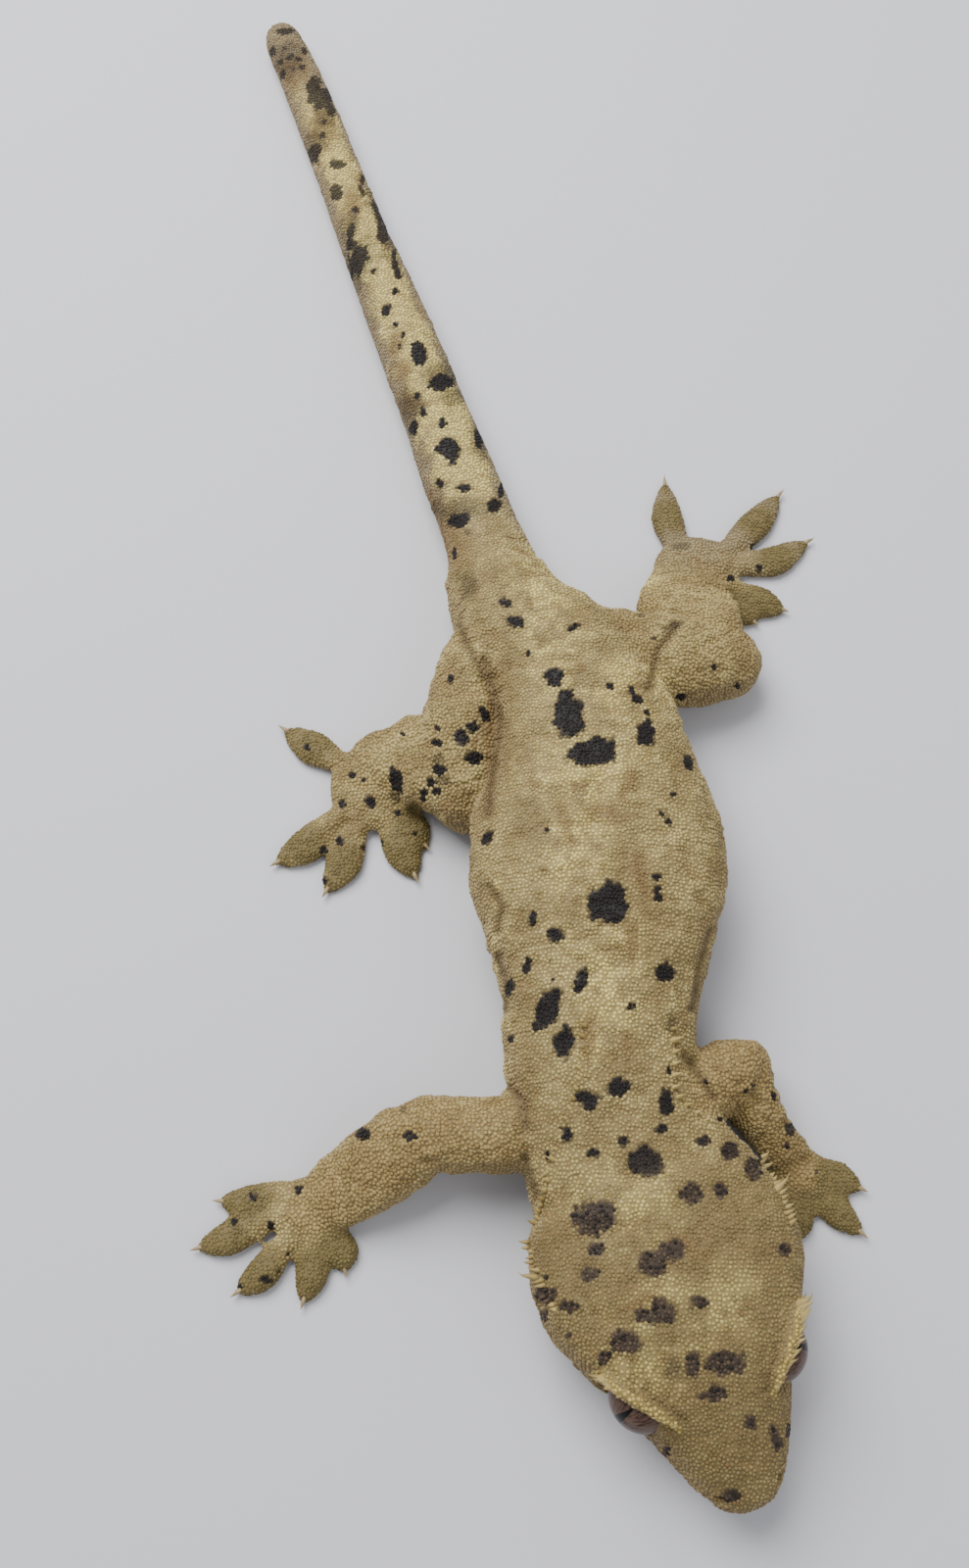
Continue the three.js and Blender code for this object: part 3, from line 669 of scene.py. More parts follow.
SPOTS_BACK = [
    (516, 615, 17, 10, 20), (527, 634, 20, 13), (586, 640, 17, 8, -20), (538, 667, 8, 6),
    (566, 691, 20, 20, 20), (577, 710, 18, 14), (581, 732, 34, 42), (606, 767, 50, 30, -8),
    (622, 700, 10, 6), (644, 704, 7, 9, -20), (651, 714, 12, 8, 20), (660, 726, 6, 6),
    (660, 748, 20, 29, -12), (702, 777, 9, 17, -20), (688, 811, 8, 7), (676, 831, 6, 8, -30),
    (682, 838, 8, 9, -30), (497, 855, 10, 18, 25), (558, 847, 5, 8, 15), (669, 895, 9, 8), (671, 908, 8, 7),
    (672, 917, 10, 8), (620, 921, 45, 43), (544, 938, 11, 18, 10), (567, 953, 17, 17),
    (538, 986, 8, 18, 15), (520, 1008, 10, 19, 10), (563, 1000, 5, 5), (593, 1001, 14, 26, 20),
    (678, 993, 22, 18, -30), (560, 1028, 28, 40, 10), (645, 1028, 11, 7), (546, 1048, 8, 11),
    (522, 1060, 6, 9), (576, 1063, 23, 37, 12), (683, 1093, 6, 8), (631, 1109, 26, 19, -10),
    (600, 1123, 27, 20, 15), (680, 1124, 17, 25),
]
SPOTS_HEAD = [
    (675, 1152, 12, 9), (579, 1157, 11, 20), (559, 1179, 6, 13), (636, 1165, 14, 11), (605, 1177, 16, 11),
    (657, 1186, 36, 35, 30), (718, 1165, 14, 12), (744, 1175, 18, 20), (769, 1193, 18, 25),
    (706, 1218, 26, 20, -10), (736, 1215, 16, 16), (607, 1243, 43, 38, 15), (608, 1276, 20, 16),
    (602, 1300, 20, 13), (686, 1276, 29, 26), (667, 1290, 31, 28), (801, 1274, 13, 15), (556, 1305, 8, 8),
    (557, 1321, 21, 17), (581, 1334, 21, 14, 10), (556, 1342, 8, 14), (674, 1340, 30, 30),
    (655, 1341, 16, 14), (713, 1328, 16, 17), (581, 1363, 7, 7), (638, 1369, 32, 25, 15),
    (617, 1386, 15, 16), (707, 1393, 15, 25), (741, 1392, 41, 28), (733, 1422, 21, 17), (718, 1424, 10, 9),
    (766, 1450, 15, 17), (793, 1470, 12, 26, -15), (804, 1460, 5, 18), (680, 1480, 8, 14),
    (748, 1526, 23, 12),
]
SPOTS_LIMBS = [
    (460, 693, 6, 10), (495, 729, 9, 18, -25), (471, 752, 18, 18), (483, 743, 14, 12), (447, 744, 7, 7),
    (446, 758, 10, 9), (411, 749, 7, 7), (484, 774, 18, 16, -20), (449, 786, 16, 12), (440, 798, 10, 10),
    (445, 808, 12, 8), (405, 796, 12, 32, -15), (432, 812, 8, 13), (379, 820, 10, 16, -25),
    (359, 791, 6, 8), (372, 796, 6, 6), (350, 820, 8, 11), (406, 830, 8, 8), (347, 858, 9, 10),
    (331, 868, 9, 9), (370, 864, 6, 6), (387, 861, 9, 8), (423, 850, 6, 7), (313, 763, 8, 8),
    (331, 899, 7, 7), (768, 558, 6, 6), (774, 580, 7, 9), (746, 590, 8, 8), (668, 651, 4, 4),
    (729, 680, 7, 7), (752, 700, 8, 6), (695, 710, 9, 7), (371, 1158, 13, 15), (419, 1160, 15, 11),
    (559, 1179, 5, 8), (305, 1214, 10, 12), (258, 1221, 9, 9), (239, 1247, 8, 6), (277, 1251, 8, 8),
    (292, 1280, 7, 5), (283, 1298, 5, 5), (272, 1306, 14, 9), (245, 1313, 7, 9), (357, 1255, 6, 6),
    (720, 1102, 6, 6), (768, 1108, 6, 6), (762, 1112, 5, 5), (789, 1118, 4, 9), (735, 1142, 6, 6),
    (806, 1152, 10, 12), (802, 1169, 5, 7), (833, 1195, 5, 5),
]
# Faint grey smudges and brown or rosy stains, in the same terms
SPOTS_GREY = [
    (384, 208, 18, 44, -22), (398, 255, 18, 44, -20), (322, 150, 20, 34, 10), (356, 232, 18, 34, 10),
    (365, 268, 32, 52, 15), (332, 118, 22, 26), (294, 60, 34, 40), (463, 404, 26, 20), (452, 385, 44, 30),
    (420, 416, 28, 40), (489, 452, 16, 36, -15), (466, 520, 60, 22, -5), (478, 597, 18, 27),
    (694, 558, 20, 8), (686, 639, 25, 8, -15), (654, 628, 10, 5), (685, 1044, 13, 15), (687, 1395, 15, 24),
    (412, 1132, 8, 8), (477, 543, 9, 9), (448, 775, 14, 14), (452, 796, 16, 12), (403, 812, 10, 14),
]
STAINS = [
    (610, 828, 70, 16, 10), (640, 800, 14, 40, 20), (578, 838, 12, 60, -12), (655, 900, 12, 60, -10),
    (645, 960, 14, 50), (600, 1060, 14, 60, 10), (700, 1270, 50, 14, 30), (650, 1330, 40, 12, -30),
    (328, 130, 26, 44), (300, 72, 30, 40), (367, 183, 10, 12), (411, 378, 16, 22), (456, 548, 40, 60),
    (440, 520, 24, 40), (405, 350, 18, 30), (360, 210, 20, 40), (421, 410, 25, 22), (595, 685, 6, 6),
    (554, 886, 10, 8), (575, 835, 14, 46, -12), (640, 1065, 12, 30), (630, 968, 16, 10), (455, 825, 12, 10),
    (735, 1090, 12, 10), (532, 1164, 6, 8), (356, 1274, 7, 14), (500, 760, 10, 120), (545, 800, 16, 10),
]
YELLOWS = [
    (560, 640, 60, 150, -20), (590, 860, 60, 190, 5), (620, 1010, 60, 150, 10), (600, 780, 110, 60),
    (640, 1225, 90, 90), (690, 1340, 110, 70, 20), (745, 1330, 60, 70), (660, 1400, 90, 40, 20),
    (430, 827, 16, 9), (660, 605, 12, 44, 25), (508, 902, 8, 14), (505, 980, 10, 40), (516, 1060, 10, 90),
    (640, 700, 90, 60), (560, 560, 40, 40),
]

# Creases, as lines across the picture: their points and how wide and deep each is in millimetres. Each is
# cut into the skin and painted with shade along its line.
CREASES = [
    (((494, 671), (511, 739), (497, 830)), 0.55, 0.5),
    (((470, 640), (482, 668), (494, 690)), 0.5, 0.3),
    (((690, 640), (672, 662), (664, 700)), 0.55, 0.4),
    (((500, 905), (512, 925), (508, 950)), 0.5, 0.3),
    (((508, 975), (517, 1000), (516, 1030)), 0.45, 0.3),
    (((724, 950), (714, 985), (706, 1030)), 0.45, 0.3),
    (((520, 1110), (532, 1122), (537, 1150)), 0.5, 0.4),
    (((536, 1180), (541, 1200), (548, 1222)), 0.5, 0.35),
    (((700, 1078), (712, 1095), (728, 1120)), 0.5, 0.4),
]

# Folds of the loose skin: how they are drawn out along the body, and their size in millimetres. Their
# hollows also take painted shade.
FOLD_PULL = (1.0, 1.7, 1.0)
FOLD_SIZE = 1.7
FOLD_SHIFT = 5.0

# Creases are cut and shaded only above this height, and the groove inside each brow only above the next
CREASE_LOW = 2.5
GROOVE_LOW = 9
# That groove: how far in from the brow, its width, depth, the strength of its painted shade and where that
# shade fades out
GROOVE_IN = 0.25
GROOVE_WIDE = 0.26
GROOVE_DEEP = 0.3
GROOVE_SHADE = 0.55
GROOVE_FADE = (11.5, 14.5)


def mark_mask(pixels: np.ndarray, marks: list[Mark], jag: np.ndarray, soft: float) -> np.ndarray:
    """How strongly each point lies in one of the marks.

    Args:
        pixels: picture coordinates of the points.
        marks: across, down, width, height and, if it has one, lean of each.
        jag: noise that makes the edges ragged, one value a point.
        soft: width of the edge as a share of the mark.

    Returns:
        0 to 1 for each point.
    """
    best = np.zeros(len(pixels))
    for across, down, wide, high, *lean in marks:
        reach = max(wide, high)
        near = np.where(np.abs(pixels - (across, down)).max(axis=1) < reach)[0]
        rel = pixels[near] - (across, down)
        turn = math.radians(sum(lean))
        c, s = math.cos(turn), math.sin(turn)
        u = (rel[:, 0] * c + rel[:, 1] * s) / (wide / 2)
        v = (-rel[:, 0] * s + rel[:, 1] * c) / (high / 2)
        away = np.sqrt(u**2 + v**2) + jag[near]
        best[near] = np.maximum(best[near], 1 - smooth_step(1 - soft, 1 + soft, away))
    return best


def line_away(points: np.ndarray, line: Line) -> np.ndarray:
    """Distance of flat points from a line of several points.

    Args:
        points: flat places, one a row.
        line: the line's own points.

    Returns:
        The shortest distance, one value a point.
    """
    best = np.full(len(points), np.inf)
    for start, end in zip(np.array(line[:-1], float), np.array(line[1:], float)):
        way = end - start
        share = np.clip((points - start) @ way / (way @ way), 0, 1)
        best = np.minimum(best, np.linalg.norm(points - start - share[:, None] * way, axis=1))
    return best


def creases_at(plan: np.ndarray) -> tuple[np.ndarray, np.ndarray]:
    """How strongly each point lies in one of the creases, which sets the painted shade there, and how deep
    it is cut there.

    Args:
        plan: places in plan millimetres.

    Returns:
        Strength of the painted shade from 0 to 1 and depth in millimetres.
    """
    pixels = VIEW.pixels(plan)
    strength, depth = np.zeros(len(plan)), np.zeros(len(plan))
    for line, wide, deep in CREASES:
        here = bump_at(line_away(pixels, line) / VIEW.scale(), wide) * (plan[:, 2] > CREASE_LOW)
        strength = np.maximum(strength, here)
        depth = np.maximum(depth, here * deep)
    # The groove inside each brow is painted with shade as well, fading out farther back
    fade = GROOVE_SHADE * (1 - smooth_step(*GROOVE_FADE, head_place(plan)[0]))
    for side in (-1, 1):
        inner = brow_line(side, BROW_STOPS[1:-1], -1, -GROOVE_IN)
        here = bump_at(line_away(plan[:, :2], inner), GROOVE_WIDE) * (plan[:, 2] > GROOVE_LOW)
        strength = np.maximum(strength, here * fade)
        depth = np.maximum(depth, here * GROOVE_DEEP)
    return strength, depth


def brow_line(side: int, stops: list[Three], halves: float, beyond: float) -> Line:
    """A line along a brow, seen from above.

    Args:
        side: -1 for the animal's right, 1 for its left.
        stops: the brow's stops that the line passes.
        halves: half widths of the brow that it lies farther out.
        beyond: millimetres that it lies farther out as well.

    Returns:
        The line's points in plan millimetres.
    """
    places = (in_head(back, side * (out + halves * half + beyond), 0) for back, out, half in stops)
    return tuple((x, y) for x, y, _ in places)


@dataclass
class Markings:
    """Works out the spots, stains and zones, and where shade is painted in the creases, in the hollows of
    the folds and on the sides, for any points on the animal.
    """

    # Raggedness of the edges of marks: large and small, each a strength and a size
    jag_large: tuple[float, float] = (0.38, 1.3)
    jag_small: tuple[float, float] = (0.22, 0.42)
    # Softness of the edges of spots, grey smudges, stains and yellow zones
    soft: tuple[float, float, float, float] = (0.12, 0.45, 0.6, 0.7)
    grey: float = 0.55
    # Ranges along the body that each zone fades in over
    head_fade: tuple[float, float] = (27, 35)
    tail_fade: tuple[float, float] = (24, 34)
    spot_fade: tuple[float, float] = (60, 90)
    tip_fade: tuple[float, float] = (88, 104)
    pale_start: tuple[float, float] = (30, 36)
    pale_end: tuple[float, float] = (96, 104)
    leg_start: float = -20
    leg_share: float = 0.3

    def dress(self, mesh: bpy.types.Mesh, plan: np.ndarray, facing: np.ndarray, each: int = 1) -> None:
        """Writes the masks for each vertex.

        Args:
            mesh: the mesh that takes the attributes.
            plan: the places that the marks are taken from, in plan millimetres.
            facing: how far up the surface faces there, -1 to 1.
            each: vertices in a row that share one place.
        """
        for name, values in self.masks(plan, facing).items():
            float_attribute(mesh, name, np.repeat(values, each))

    def masks(self, plan: np.ndarray, facing: np.ndarray) -> dict[str, np.ndarray]:
        """Works out every mask.

        Args:
            plan: places in plan millimetres.
            facing: how far up the surface faces there, -1 to 1.

        Returns:
            The masks by name, one value a place.
        """
        x, y, z = plan.T
        back, _ = head_place(plan)
        pixels = VIEW.pixels(plan)
        (large, large_size), (small, small_size) = self.jag_large, self.jag_small
        jag = large * noise_at(plan, large_size) + small * noise_at(plan, small_size, 9.0)
        seen = smooth_step(-0.25, 0.12, facing + 0.25 * noise_at(plan, 1.1, 6.0))
        dark = SPOTS_TAIL + SPOTS_BACK + SPOTS_HEAD + SPOTS_LIMBS
        groups = zip((dark, SPOTS_GREY, STAINS, YELLOWS), self.soft)
        spot, grey, stain, yellow = (mark_mask(pixels, marks, jag, soft) for marks, soft in groups)
        spot = np.maximum(spot, self.grey * grey) * seen * (1 - 0.1 * smooth_step(*self.spot_fade, y))
        head = 1 - smooth_step(*self.head_fade, back)
        tail = smooth_step(*self.tail_fade, y)
        middle_x, middle_y, half = np.array(BODY_STATIONS).T[:3]
        aside = np.abs(x - np.interp(y, middle_y, middle_x)) / np.interp(y, middle_y, half)
        ragged = 0.3 * noise_at(plan, 2.6, 2.0) + 0.2 * noise_at(plan, 0.9, 4.0)
        aside += ragged
        length = smooth_step(*self.pale_start, y) * (1 - smooth_step(*self.pale_end, y))
        pale = length * (1 - smooth_step(0.5, 0.85, aside))
        patchy = smooth_step(-0.5, 0.3, ragged * 4) * (1 - 0.35 * head)
        tip = np.maximum(smooth_step(*self.tip_fade, y), tail * smooth_step(0.55, 1.0, aside))
        toe = self.toe(plan)
        folds = -noise_at(plan * FOLD_PULL, FOLD_SIZE, FOLD_SHIFT)
        crease_shade, _ = creases_at(plan)
        # Painted shade along the groove of the mouth line
        groove = bump_at(z - mouth_z(back), 0.3) * (back < MOUTH_CORNER + 0.5)
        return {
            "spot": spot,
            "stain": stain * seen,
            "yellow": np.maximum(yellow * seen * patchy, pale),
            # Painted shade in the hollows between the folds of the skin
            "fold_shade": smooth_step(0.05, 0.6, folds) * (1 - toe),
            "head": head,
            "tail": tail,
            "tip": tip * (1 - pale),
            "limb": self.limb(plan) * np.where(y > self.leg_start, self.leg_share, 1.0),
            "toe": toe,
            # Painted shade in the creases, the grooves inside the brows and the line of the mouth
            "crease_shade": np.maximum(crease_shade, groove * (facing < 0.75)),
            "brow": self.brow(plan),
            # Painted shade: a darker, greyer colour where the skin turns from facing up
            "side": 1 - smooth_step(0.1, 0.75, facing),
        }

    @staticmethod
    def brow(plan: np.ndarray, beyond: float = 0.3, lowest: float = 10.5) -> np.ndarray:
        """The pale band of each brow.

        Args:
            plan: places in plan millimetres.
            beyond: how far out from the brow's middle the band lies.
            lowest: the lowest height that it reaches.

        Returns:
            1 in the bands and 0 away from them.
        """
        share = np.zeros(len(plan))
        for side in (-1, 1):
            away = line_away(plan[:, :2], brow_line(side, BROW_STOPS, 0, beyond))
            share = np.maximum(share, 1 - smooth_step(0.2, 0.5, away))
        return share * (plan[:, 2] > lowest)

    @staticmethod
    def limb(plan: np.ndarray) -> np.ndarray:
        """The arms and legs.

        Args:
            plan: places in plan millimetres.

        Returns:
            1 on them and 0 on the trunk.
        """
        share = np.zeros(len(plan))
        for stations in LIMBS.values():
            for x, y, half, *_ in stations[2:]:
                away = np.hypot(plan[:, 0] - x, plan[:, 1] - y) / max(half, 2.0)
                share = np.maximum(share, 1 - smooth_step(0.7, 1.25, away))
        return share * (1 - smooth_step(10.5, 12.5, plan[:, 2]))

    @staticmethod
    def toe(plan: np.ndarray) -> np.ndarray:
        """The toes, from the sole out.

        Args:
            plan: places in plan millimetres.

        Returns:
            1 on them and 0 away from them.
        """
        share = np.zeros(len(plan))
        for toe in (toe for foot in FEET.values() for toe in foot.toes):
            for x, y in (toe[2:4], toe[4:6]):
                away = np.hypot(plan[:, 0] - x, plan[:, 1] - y)
                share = np.maximum(share, 1 - smooth_step(1.4, 3.6, away))
        return share * (1 - smooth_step(2.6, 3.6, plan[:, 2]))


MARKINGS = Markings()


# Shader pieces


class Graph:
    """A small helper that adds and links shader nodes in a tree."""

    def __init__(self, tree: bpy.types.NodeTree) -> None:
        """Keeps the tree."""
        self.tree = tree

    def feed(self, socket: Socket, value: object) -> None:
        """Links an input to a socket, or gives it a plain value.

        Args:
            socket: the input.
            value: a socket, a number or another plain value.
        """
        if isinstance(value, Socket):
            self.tree.links.new(value, socket)
        elif socket.type == "RGBA":
            socket.default_value = (*value, 1)
        else:
            socket.default_value = value

    def fill(self, node: bpy.types.Node, inputs: dict[str, object]) -> None:
        """Feeds several inputs of a node by their names."""
        for name, value in inputs.items():
            self.feed(node.inputs[name], value)

    def add(self, kind: str, inputs: dict[str, object] | None = None, **values: object) -> bpy.types.Node:
        """Adds a node.

        Args:
            kind: the node's type.
            inputs: what its inputs are fed with.
            values: its properties.

        Returns:
            The node.
        """
        made = self.tree.nodes.new(kind)
        for name, value in values.items():
            setattr(made, name, value)
        self.fill(made, inputs or {})
        return made

    def attribute(self, name: str) -> Socket:
        """The factor of a vertex attribute."""
        return self.add("ShaderNodeAttribute", attribute_name=name).outputs["Fac"]

    def place(self) -> Socket:
        """The place on the piece, in metres."""
        return self.add("ShaderNodeTexCoord").outputs["Object"]

    def mix(
        self, factor: Socket | float, first: Socket | Tone, second: Socket | Tone, blend: str = "MIX"
    ) -> Socket:
        """Mixes two colours.

        Args:
            factor: how much of the second.
            first: a socket or a colour.
            second: a socket or a colour.
            blend: how the second is laid on the first.

        Returns:
            The mixed colour's socket.
        """
        made = self.add("ShaderNodeMix", data_type="RGBA", blend_type=blend)
        for value, index in ((factor, 0), (first, 6), (second, 7)):
            self.feed(made.inputs[index], value)
        return made.outputs[2]

    def maths(self, operation: str, first: Socket | float, second: Socket | float = 0.0) -> Socket:
        """A sum on one or two numbers.

        Args:
            operation: the kind of sum.
            first: a socket or a number.
            second: a socket or a number.

        Returns:
            The result's socket.
        """
        made = self.add("ShaderNodeMath", operation=operation)
        self.feed(made.inputs[0], first)
        self.feed(made.inputs[1], second)
        return made.outputs[0]

    def noise(self, where: Socket, scale: float, detail: float = 3, rough: float = 0.55) -> Socket:
        """Cloudy noise on a place, in blotches for each metre."""
        inputs = {"Scale": scale, "Detail": detail, "Roughness": rough, "Vector": where}
        return self.add("ShaderNodeTexNoise", inputs).outputs["Fac"]

    def ramp(self, value: Socket, low: float, high: float) -> Socket:
        """Spreads a range of a value over 0 to 1."""
        inputs = {"From Min": low, "From Max": high, "Value": value}
        return self.add("ShaderNodeMapRange", inputs, clamp=True).outputs["Result"]


def new_material(name: str) -> tuple[bpy.types.Material, Graph, bpy.types.Node]:
    """An undressed material.

    Args:
        name: the material's name.

    Returns:
        The material, a helper for its nodes and its surface shader.
    """
    made = bpy.data.materials.new(name)
    made.use_nodes = True
    return made, Graph(made.node_tree), made.node_tree.nodes["Principled BSDF"]


@dataclass(frozen=True)
class Hide:
    """Colours of the skin, as the light shows them, with painted shade in the gaps between scales, in the
    creases, in the hollows of the folds and on the sides, and how it is dressed.
    """

    cream: Tone = (0.46, 0.375, 0.16)
    tan: Tone = (0.25, 0.19, 0.08)
    head: Tone = (0.165, 0.124, 0.05)
    tail: Tone = (0.47, 0.395, 0.2)
    limb: Tone = (0.29, 0.2, 0.078)
    toe: Tone = (0.16, 0.13, 0.048)
    yellow: Tone = (0.72, 0.6, 0.22)
    brow: Tone = (0.52, 0.40, 0.13)
    stain: Tone = (0.20, 0.125, 0.05)
    # Painted shade in the gaps between scales, where the skin shows between the domes
    gap_shade_tone: Tone = (0.17, 0.118, 0.05)
    # Painted shade in the creases, the brow grooves and the mouth line
    crease_shade: Tone = (0.085, 0.055, 0.028)
    speck: Tone = (0.22, 0.12, 0.045)
    # Painted shade on the sides, where the skin turns away from the light above
    flank_shade: Tone = (0.35, 0.265, 0.155)
    ash: Tone = (0.20, 0.165, 0.12)
    # Painted shade in the hollows between the folds of the skin
    fold_shade: Tone = (0.30, 0.20, 0.085)
    black: Tone = (0.014, 0.011, 0.010)
    smoke: Tone = (0.088, 0.06, 0.038)
    roughness: tuple[float, float] = (0.51, 0.14)
    specular: float = 0.2
    glow: float = 0.06
    glow_reach: Tone = (0.0012, 0.0006, 0.0003)
    grain: float = 2300

    def group(self) -> bpy.types.NodeTree:
        """The node group of the markings, with painted shade in the gaps, the creases, the hollows of the
        folds and on the sides: a colour and a roughness from the masks.

        Returns:
            The group, made once.
        """
        made = bpy.data.node_groups.get("gecko_markings")
        if made:
            return made
        made = bpy.data.node_groups.new("gecko_markings", "ShaderNodeTree")
        made.interface.new_socket("Depth", in_out="INPUT", socket_type="NodeSocketFloat")
        made.interface.new_socket("Color", in_out="OUTPUT", socket_type="NodeSocketColor")
        made.interface.new_socket("Roughness", in_out="OUTPUT", socket_type="NodeSocketFloat")
        g = Graph(made)
        inlet = g.add("NodeGroupInput")
        outlet = g.add("NodeGroupOutput")
        place = g.place()
        cloud = g.ramp(g.noise(place, 210, 4, 0.6), 0.38, 0.64)
        fine = g.ramp(g.noise(place, 900, 3, 0.6), 0.3, 0.7)
        blotch = g.ramp(g.noise(place, 130, 3, 0.65), 0.52, 0.66)
        base = g.mix(cloud, self.tan, self.cream)
        for name, share, tone in (
            ("head", 0.7, self.head),
            ("tail", 0.6, self.tail),
            ("limb", 0.65, self.limb),
            # Painted shade on the sides, where the skin turns away from the light above
            ("side", 0.45, self.flank_shade),
            ("yellow", 0.8, self.yellow),
            ("tip", 0.7, self.ash),
            # Painted shade in the hollows between the folds of the skin
            ("fold_shade", 0.42, self.fold_shade),
            ("stain", 0.75, self.stain),
        ):
            base = g.mix(g.maths("MULTIPLY", g.attribute(name), share), base, tone)
        base = g.mix(g.maths("MULTIPLY", blotch, 0.16), base, self.stain)
        base = g.mix(g.attribute("toe"), base, self.toe)
        base = g.mix(g.attribute("brow"), base, self.brow)
        shade = g.mix(fine, (0.80, 0.78, 0.74), (1.12, 1.12, 1.12))
        base = g.mix(1.0, base, shade, "MULTIPLY")
        grain = g.mix(g.attribute("grain"), (0.86, 0.84, 0.80), (1.14, 1.14, 1.16))
        base = g.mix(1.0, base, grain, "MULTIPLY")
        base = g.mix(g.attribute("speck"), base, self.speck)
        # Painted shade in the creases, the brow grooves and the mouth line
        base = g.mix(g.maths("MULTIPLY", g.attribute("crease_shade"), 0.8), base, self.crease_shade)
        # Painted shade in the gaps between scales, as strong as the group's input asks
        deep = g.mix(inlet.outputs["Depth"], base, self.gap_shade_tone)
        brown = g.maths("MULTIPLY", g.attribute("head"), g.ramp(g.attribute("grain"), 0.1, 0.9))
        dark = g.mix(brown, self.black, self.smoke)
        colour = g.mix(g.attribute("spot"), deep, dark)
        least, spread = self.roughness
        rough = g.maths("ADD", g.maths("MULTIPLY", fine, spread), least)
        g.fill(outlet, {"Color": colour, "Roughness": rough})
        return made

    def material(self, name: str, depth: float, bump: float) -> bpy.types.Material:
        """A skin material.

        Args:
            name: the material's name.
            depth: how strongly the gaps between scales are painted with shade.
            bump: height of the fine grain in millimetres.

        Returns:
            The material.
        """
        made, g, shader = new_material(name)
        marks = g.add("ShaderNodeGroup", node_tree=self.group())
        marks.inputs["Depth"].default_value = depth
        cells = g.add("ShaderNodeTexVoronoi", {"Scale": self.grain, "Vector": g.place()}, feature="F1")
        raised = g.maths("SUBTRACT", 1.0, cells.outputs["Distance"])
        bumped = g.add("ShaderNodeBump", {"Strength": 1.0, "Distance": bump * MM, "Height": raised})
        inputs = {
            "Base Color": marks.outputs["Color"],
            "Roughness": marks.outputs["Roughness"],
            "Subsurface Weight": self.glow,
            "Subsurface Radius": self.glow_reach,
            "Subsurface Scale": 1.0,
            "Specular IOR Level": self.specular,
            "Normal": bumped.outputs["Normal"],
        }
        g.fill(shader, inputs)
        return made


@dataclass(frozen=True)
class Iris:
    """The eye: a glossy ball with a veined iris and an upright slit."""

    ground: Tone = (0.12, 0.075, 0.055)
    vein: Tone = (0.035, 0.014, 0.011)
    rim: Tone = (0.03, 0.02, 0.016)
    black: Tone = (0.004, 0.004, 0.004)
    roughness: float = 0.3
    specular: float = 0.15
    # The slit: half width, ragged part of it, how it narrows up and down, and softness of its edge
    slit: tuple[float, float, float, float] = (0.10, 0.05, 0.16, 0.012)

    def material(self, name: str, centre: np.ndarray, gaze: Vector) -> bpy.types.Material:
        """The material of one eye.

        Args:
            name: the material's name.
            centre: the eye's centre in the frame, in metres.
            gaze: the way the eye looks.

        Returns:
            The material.
        """
        made, g, shader = new_material(name)
        turn = gaze.to_track_quat("Z", "Y").to_matrix().to_4x4()
        inputs = {
            "Location": centre,
            "Rotation": turn.to_euler(),
            "Scale": (EYE_RADIUS * MM,) * 3,
            "Vector": g.place(),
        }
        mapped = g.add("ShaderNodeMapping", inputs, vector_type="TEXTURE").outputs["Vector"]
        parts = g.add("ShaderNodeSeparateXYZ", {"Vector": mapped})
        x, y = parts.outputs["X"], parts.outputs["Y"]
        y_square = g.maths("MULTIPLY", y, y)
        radius = g.maths("SQRT", g.maths("ADD", g.maths("MULTIPLY", x, x), y_square))
        angle = g.maths("ARCTAN2", y, x)
        spokes = {"X": g.maths("MULTIPLY", angle, 3.0), "Y": g.maths("MULTIPLY", radius, 1.4)}
        spread = g.add("ShaderNodeCombineXYZ", spokes).outputs[0]
        veins = g.ramp(g.noise(spread, 3.2, 5, 0.65), 0.46, 0.62)
        tone = g.mix(veins, self.ground, self.vein)
        tone = g.mix(g.ramp(parts.outputs["Z"], 0.12, -0.1), tone, self.rim)
        half, ragged, narrowing, edge = self.slit
        wide = g.maths("ADD", half, g.maths("MULTIPLY", g.noise(mapped, 7, 2), ragged))
        wide = g.maths("SUBTRACT", wide, g.maths("MULTIPLY", y_square, narrowing))
        slit = g.ramp(g.maths("SUBTRACT", g.maths("ABSOLUTE", x), wide), edge, -edge)
        tone = g.mix(slit, tone, self.black)
        g.fill(shader, {"Base Color": tone, "Roughness": self.roughness})
        g.fill(shader, {"Specular IOR Level": self.specular})
        return made


@dataclass(frozen=True)
class Horn:
    """The horn-brown of the claws."""

    colour: Tone = (0.22, 0.15, 0.07)
    pale: Tone = (0.40, 0.30, 0.15)
    cloud: float = 1800
    roughness: float = 0.35

    def material(self) -> bpy.types.Material:
        """The claw material.

        Returns:
            The material.
        """
        made, g, shader = new_material("claw_horn")
        tone = g.mix(g.noise(g.place(), self.cloud), self.colour, self.pale)
        g.fill(shader, {"Base Color": tone, "Roughness": self.roughness})
        return made


def finish_piece(
    name: str, mesh: bpy.types.Mesh, material: bpy.types.Material
) -> bpy.types.Object:
    """Makes a piece of a mesh and reports it.

    Args:
        name: the piece's name.
        mesh: its mesh, in the frame.
        material: its material.

    Returns:
        The piece, with its material, slot and body.
    """
    piece = bpy.data.objects.new(name, mesh)
    mesh.materials.append(material)
    mesh.shade_smooth()
    bpy.context.scene.collection.objects.link(piece)
    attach(piece, BODY)
    LOG.info("%s: %d vertices", piece.name, len(mesh.vertices))
    return piece


# The skin


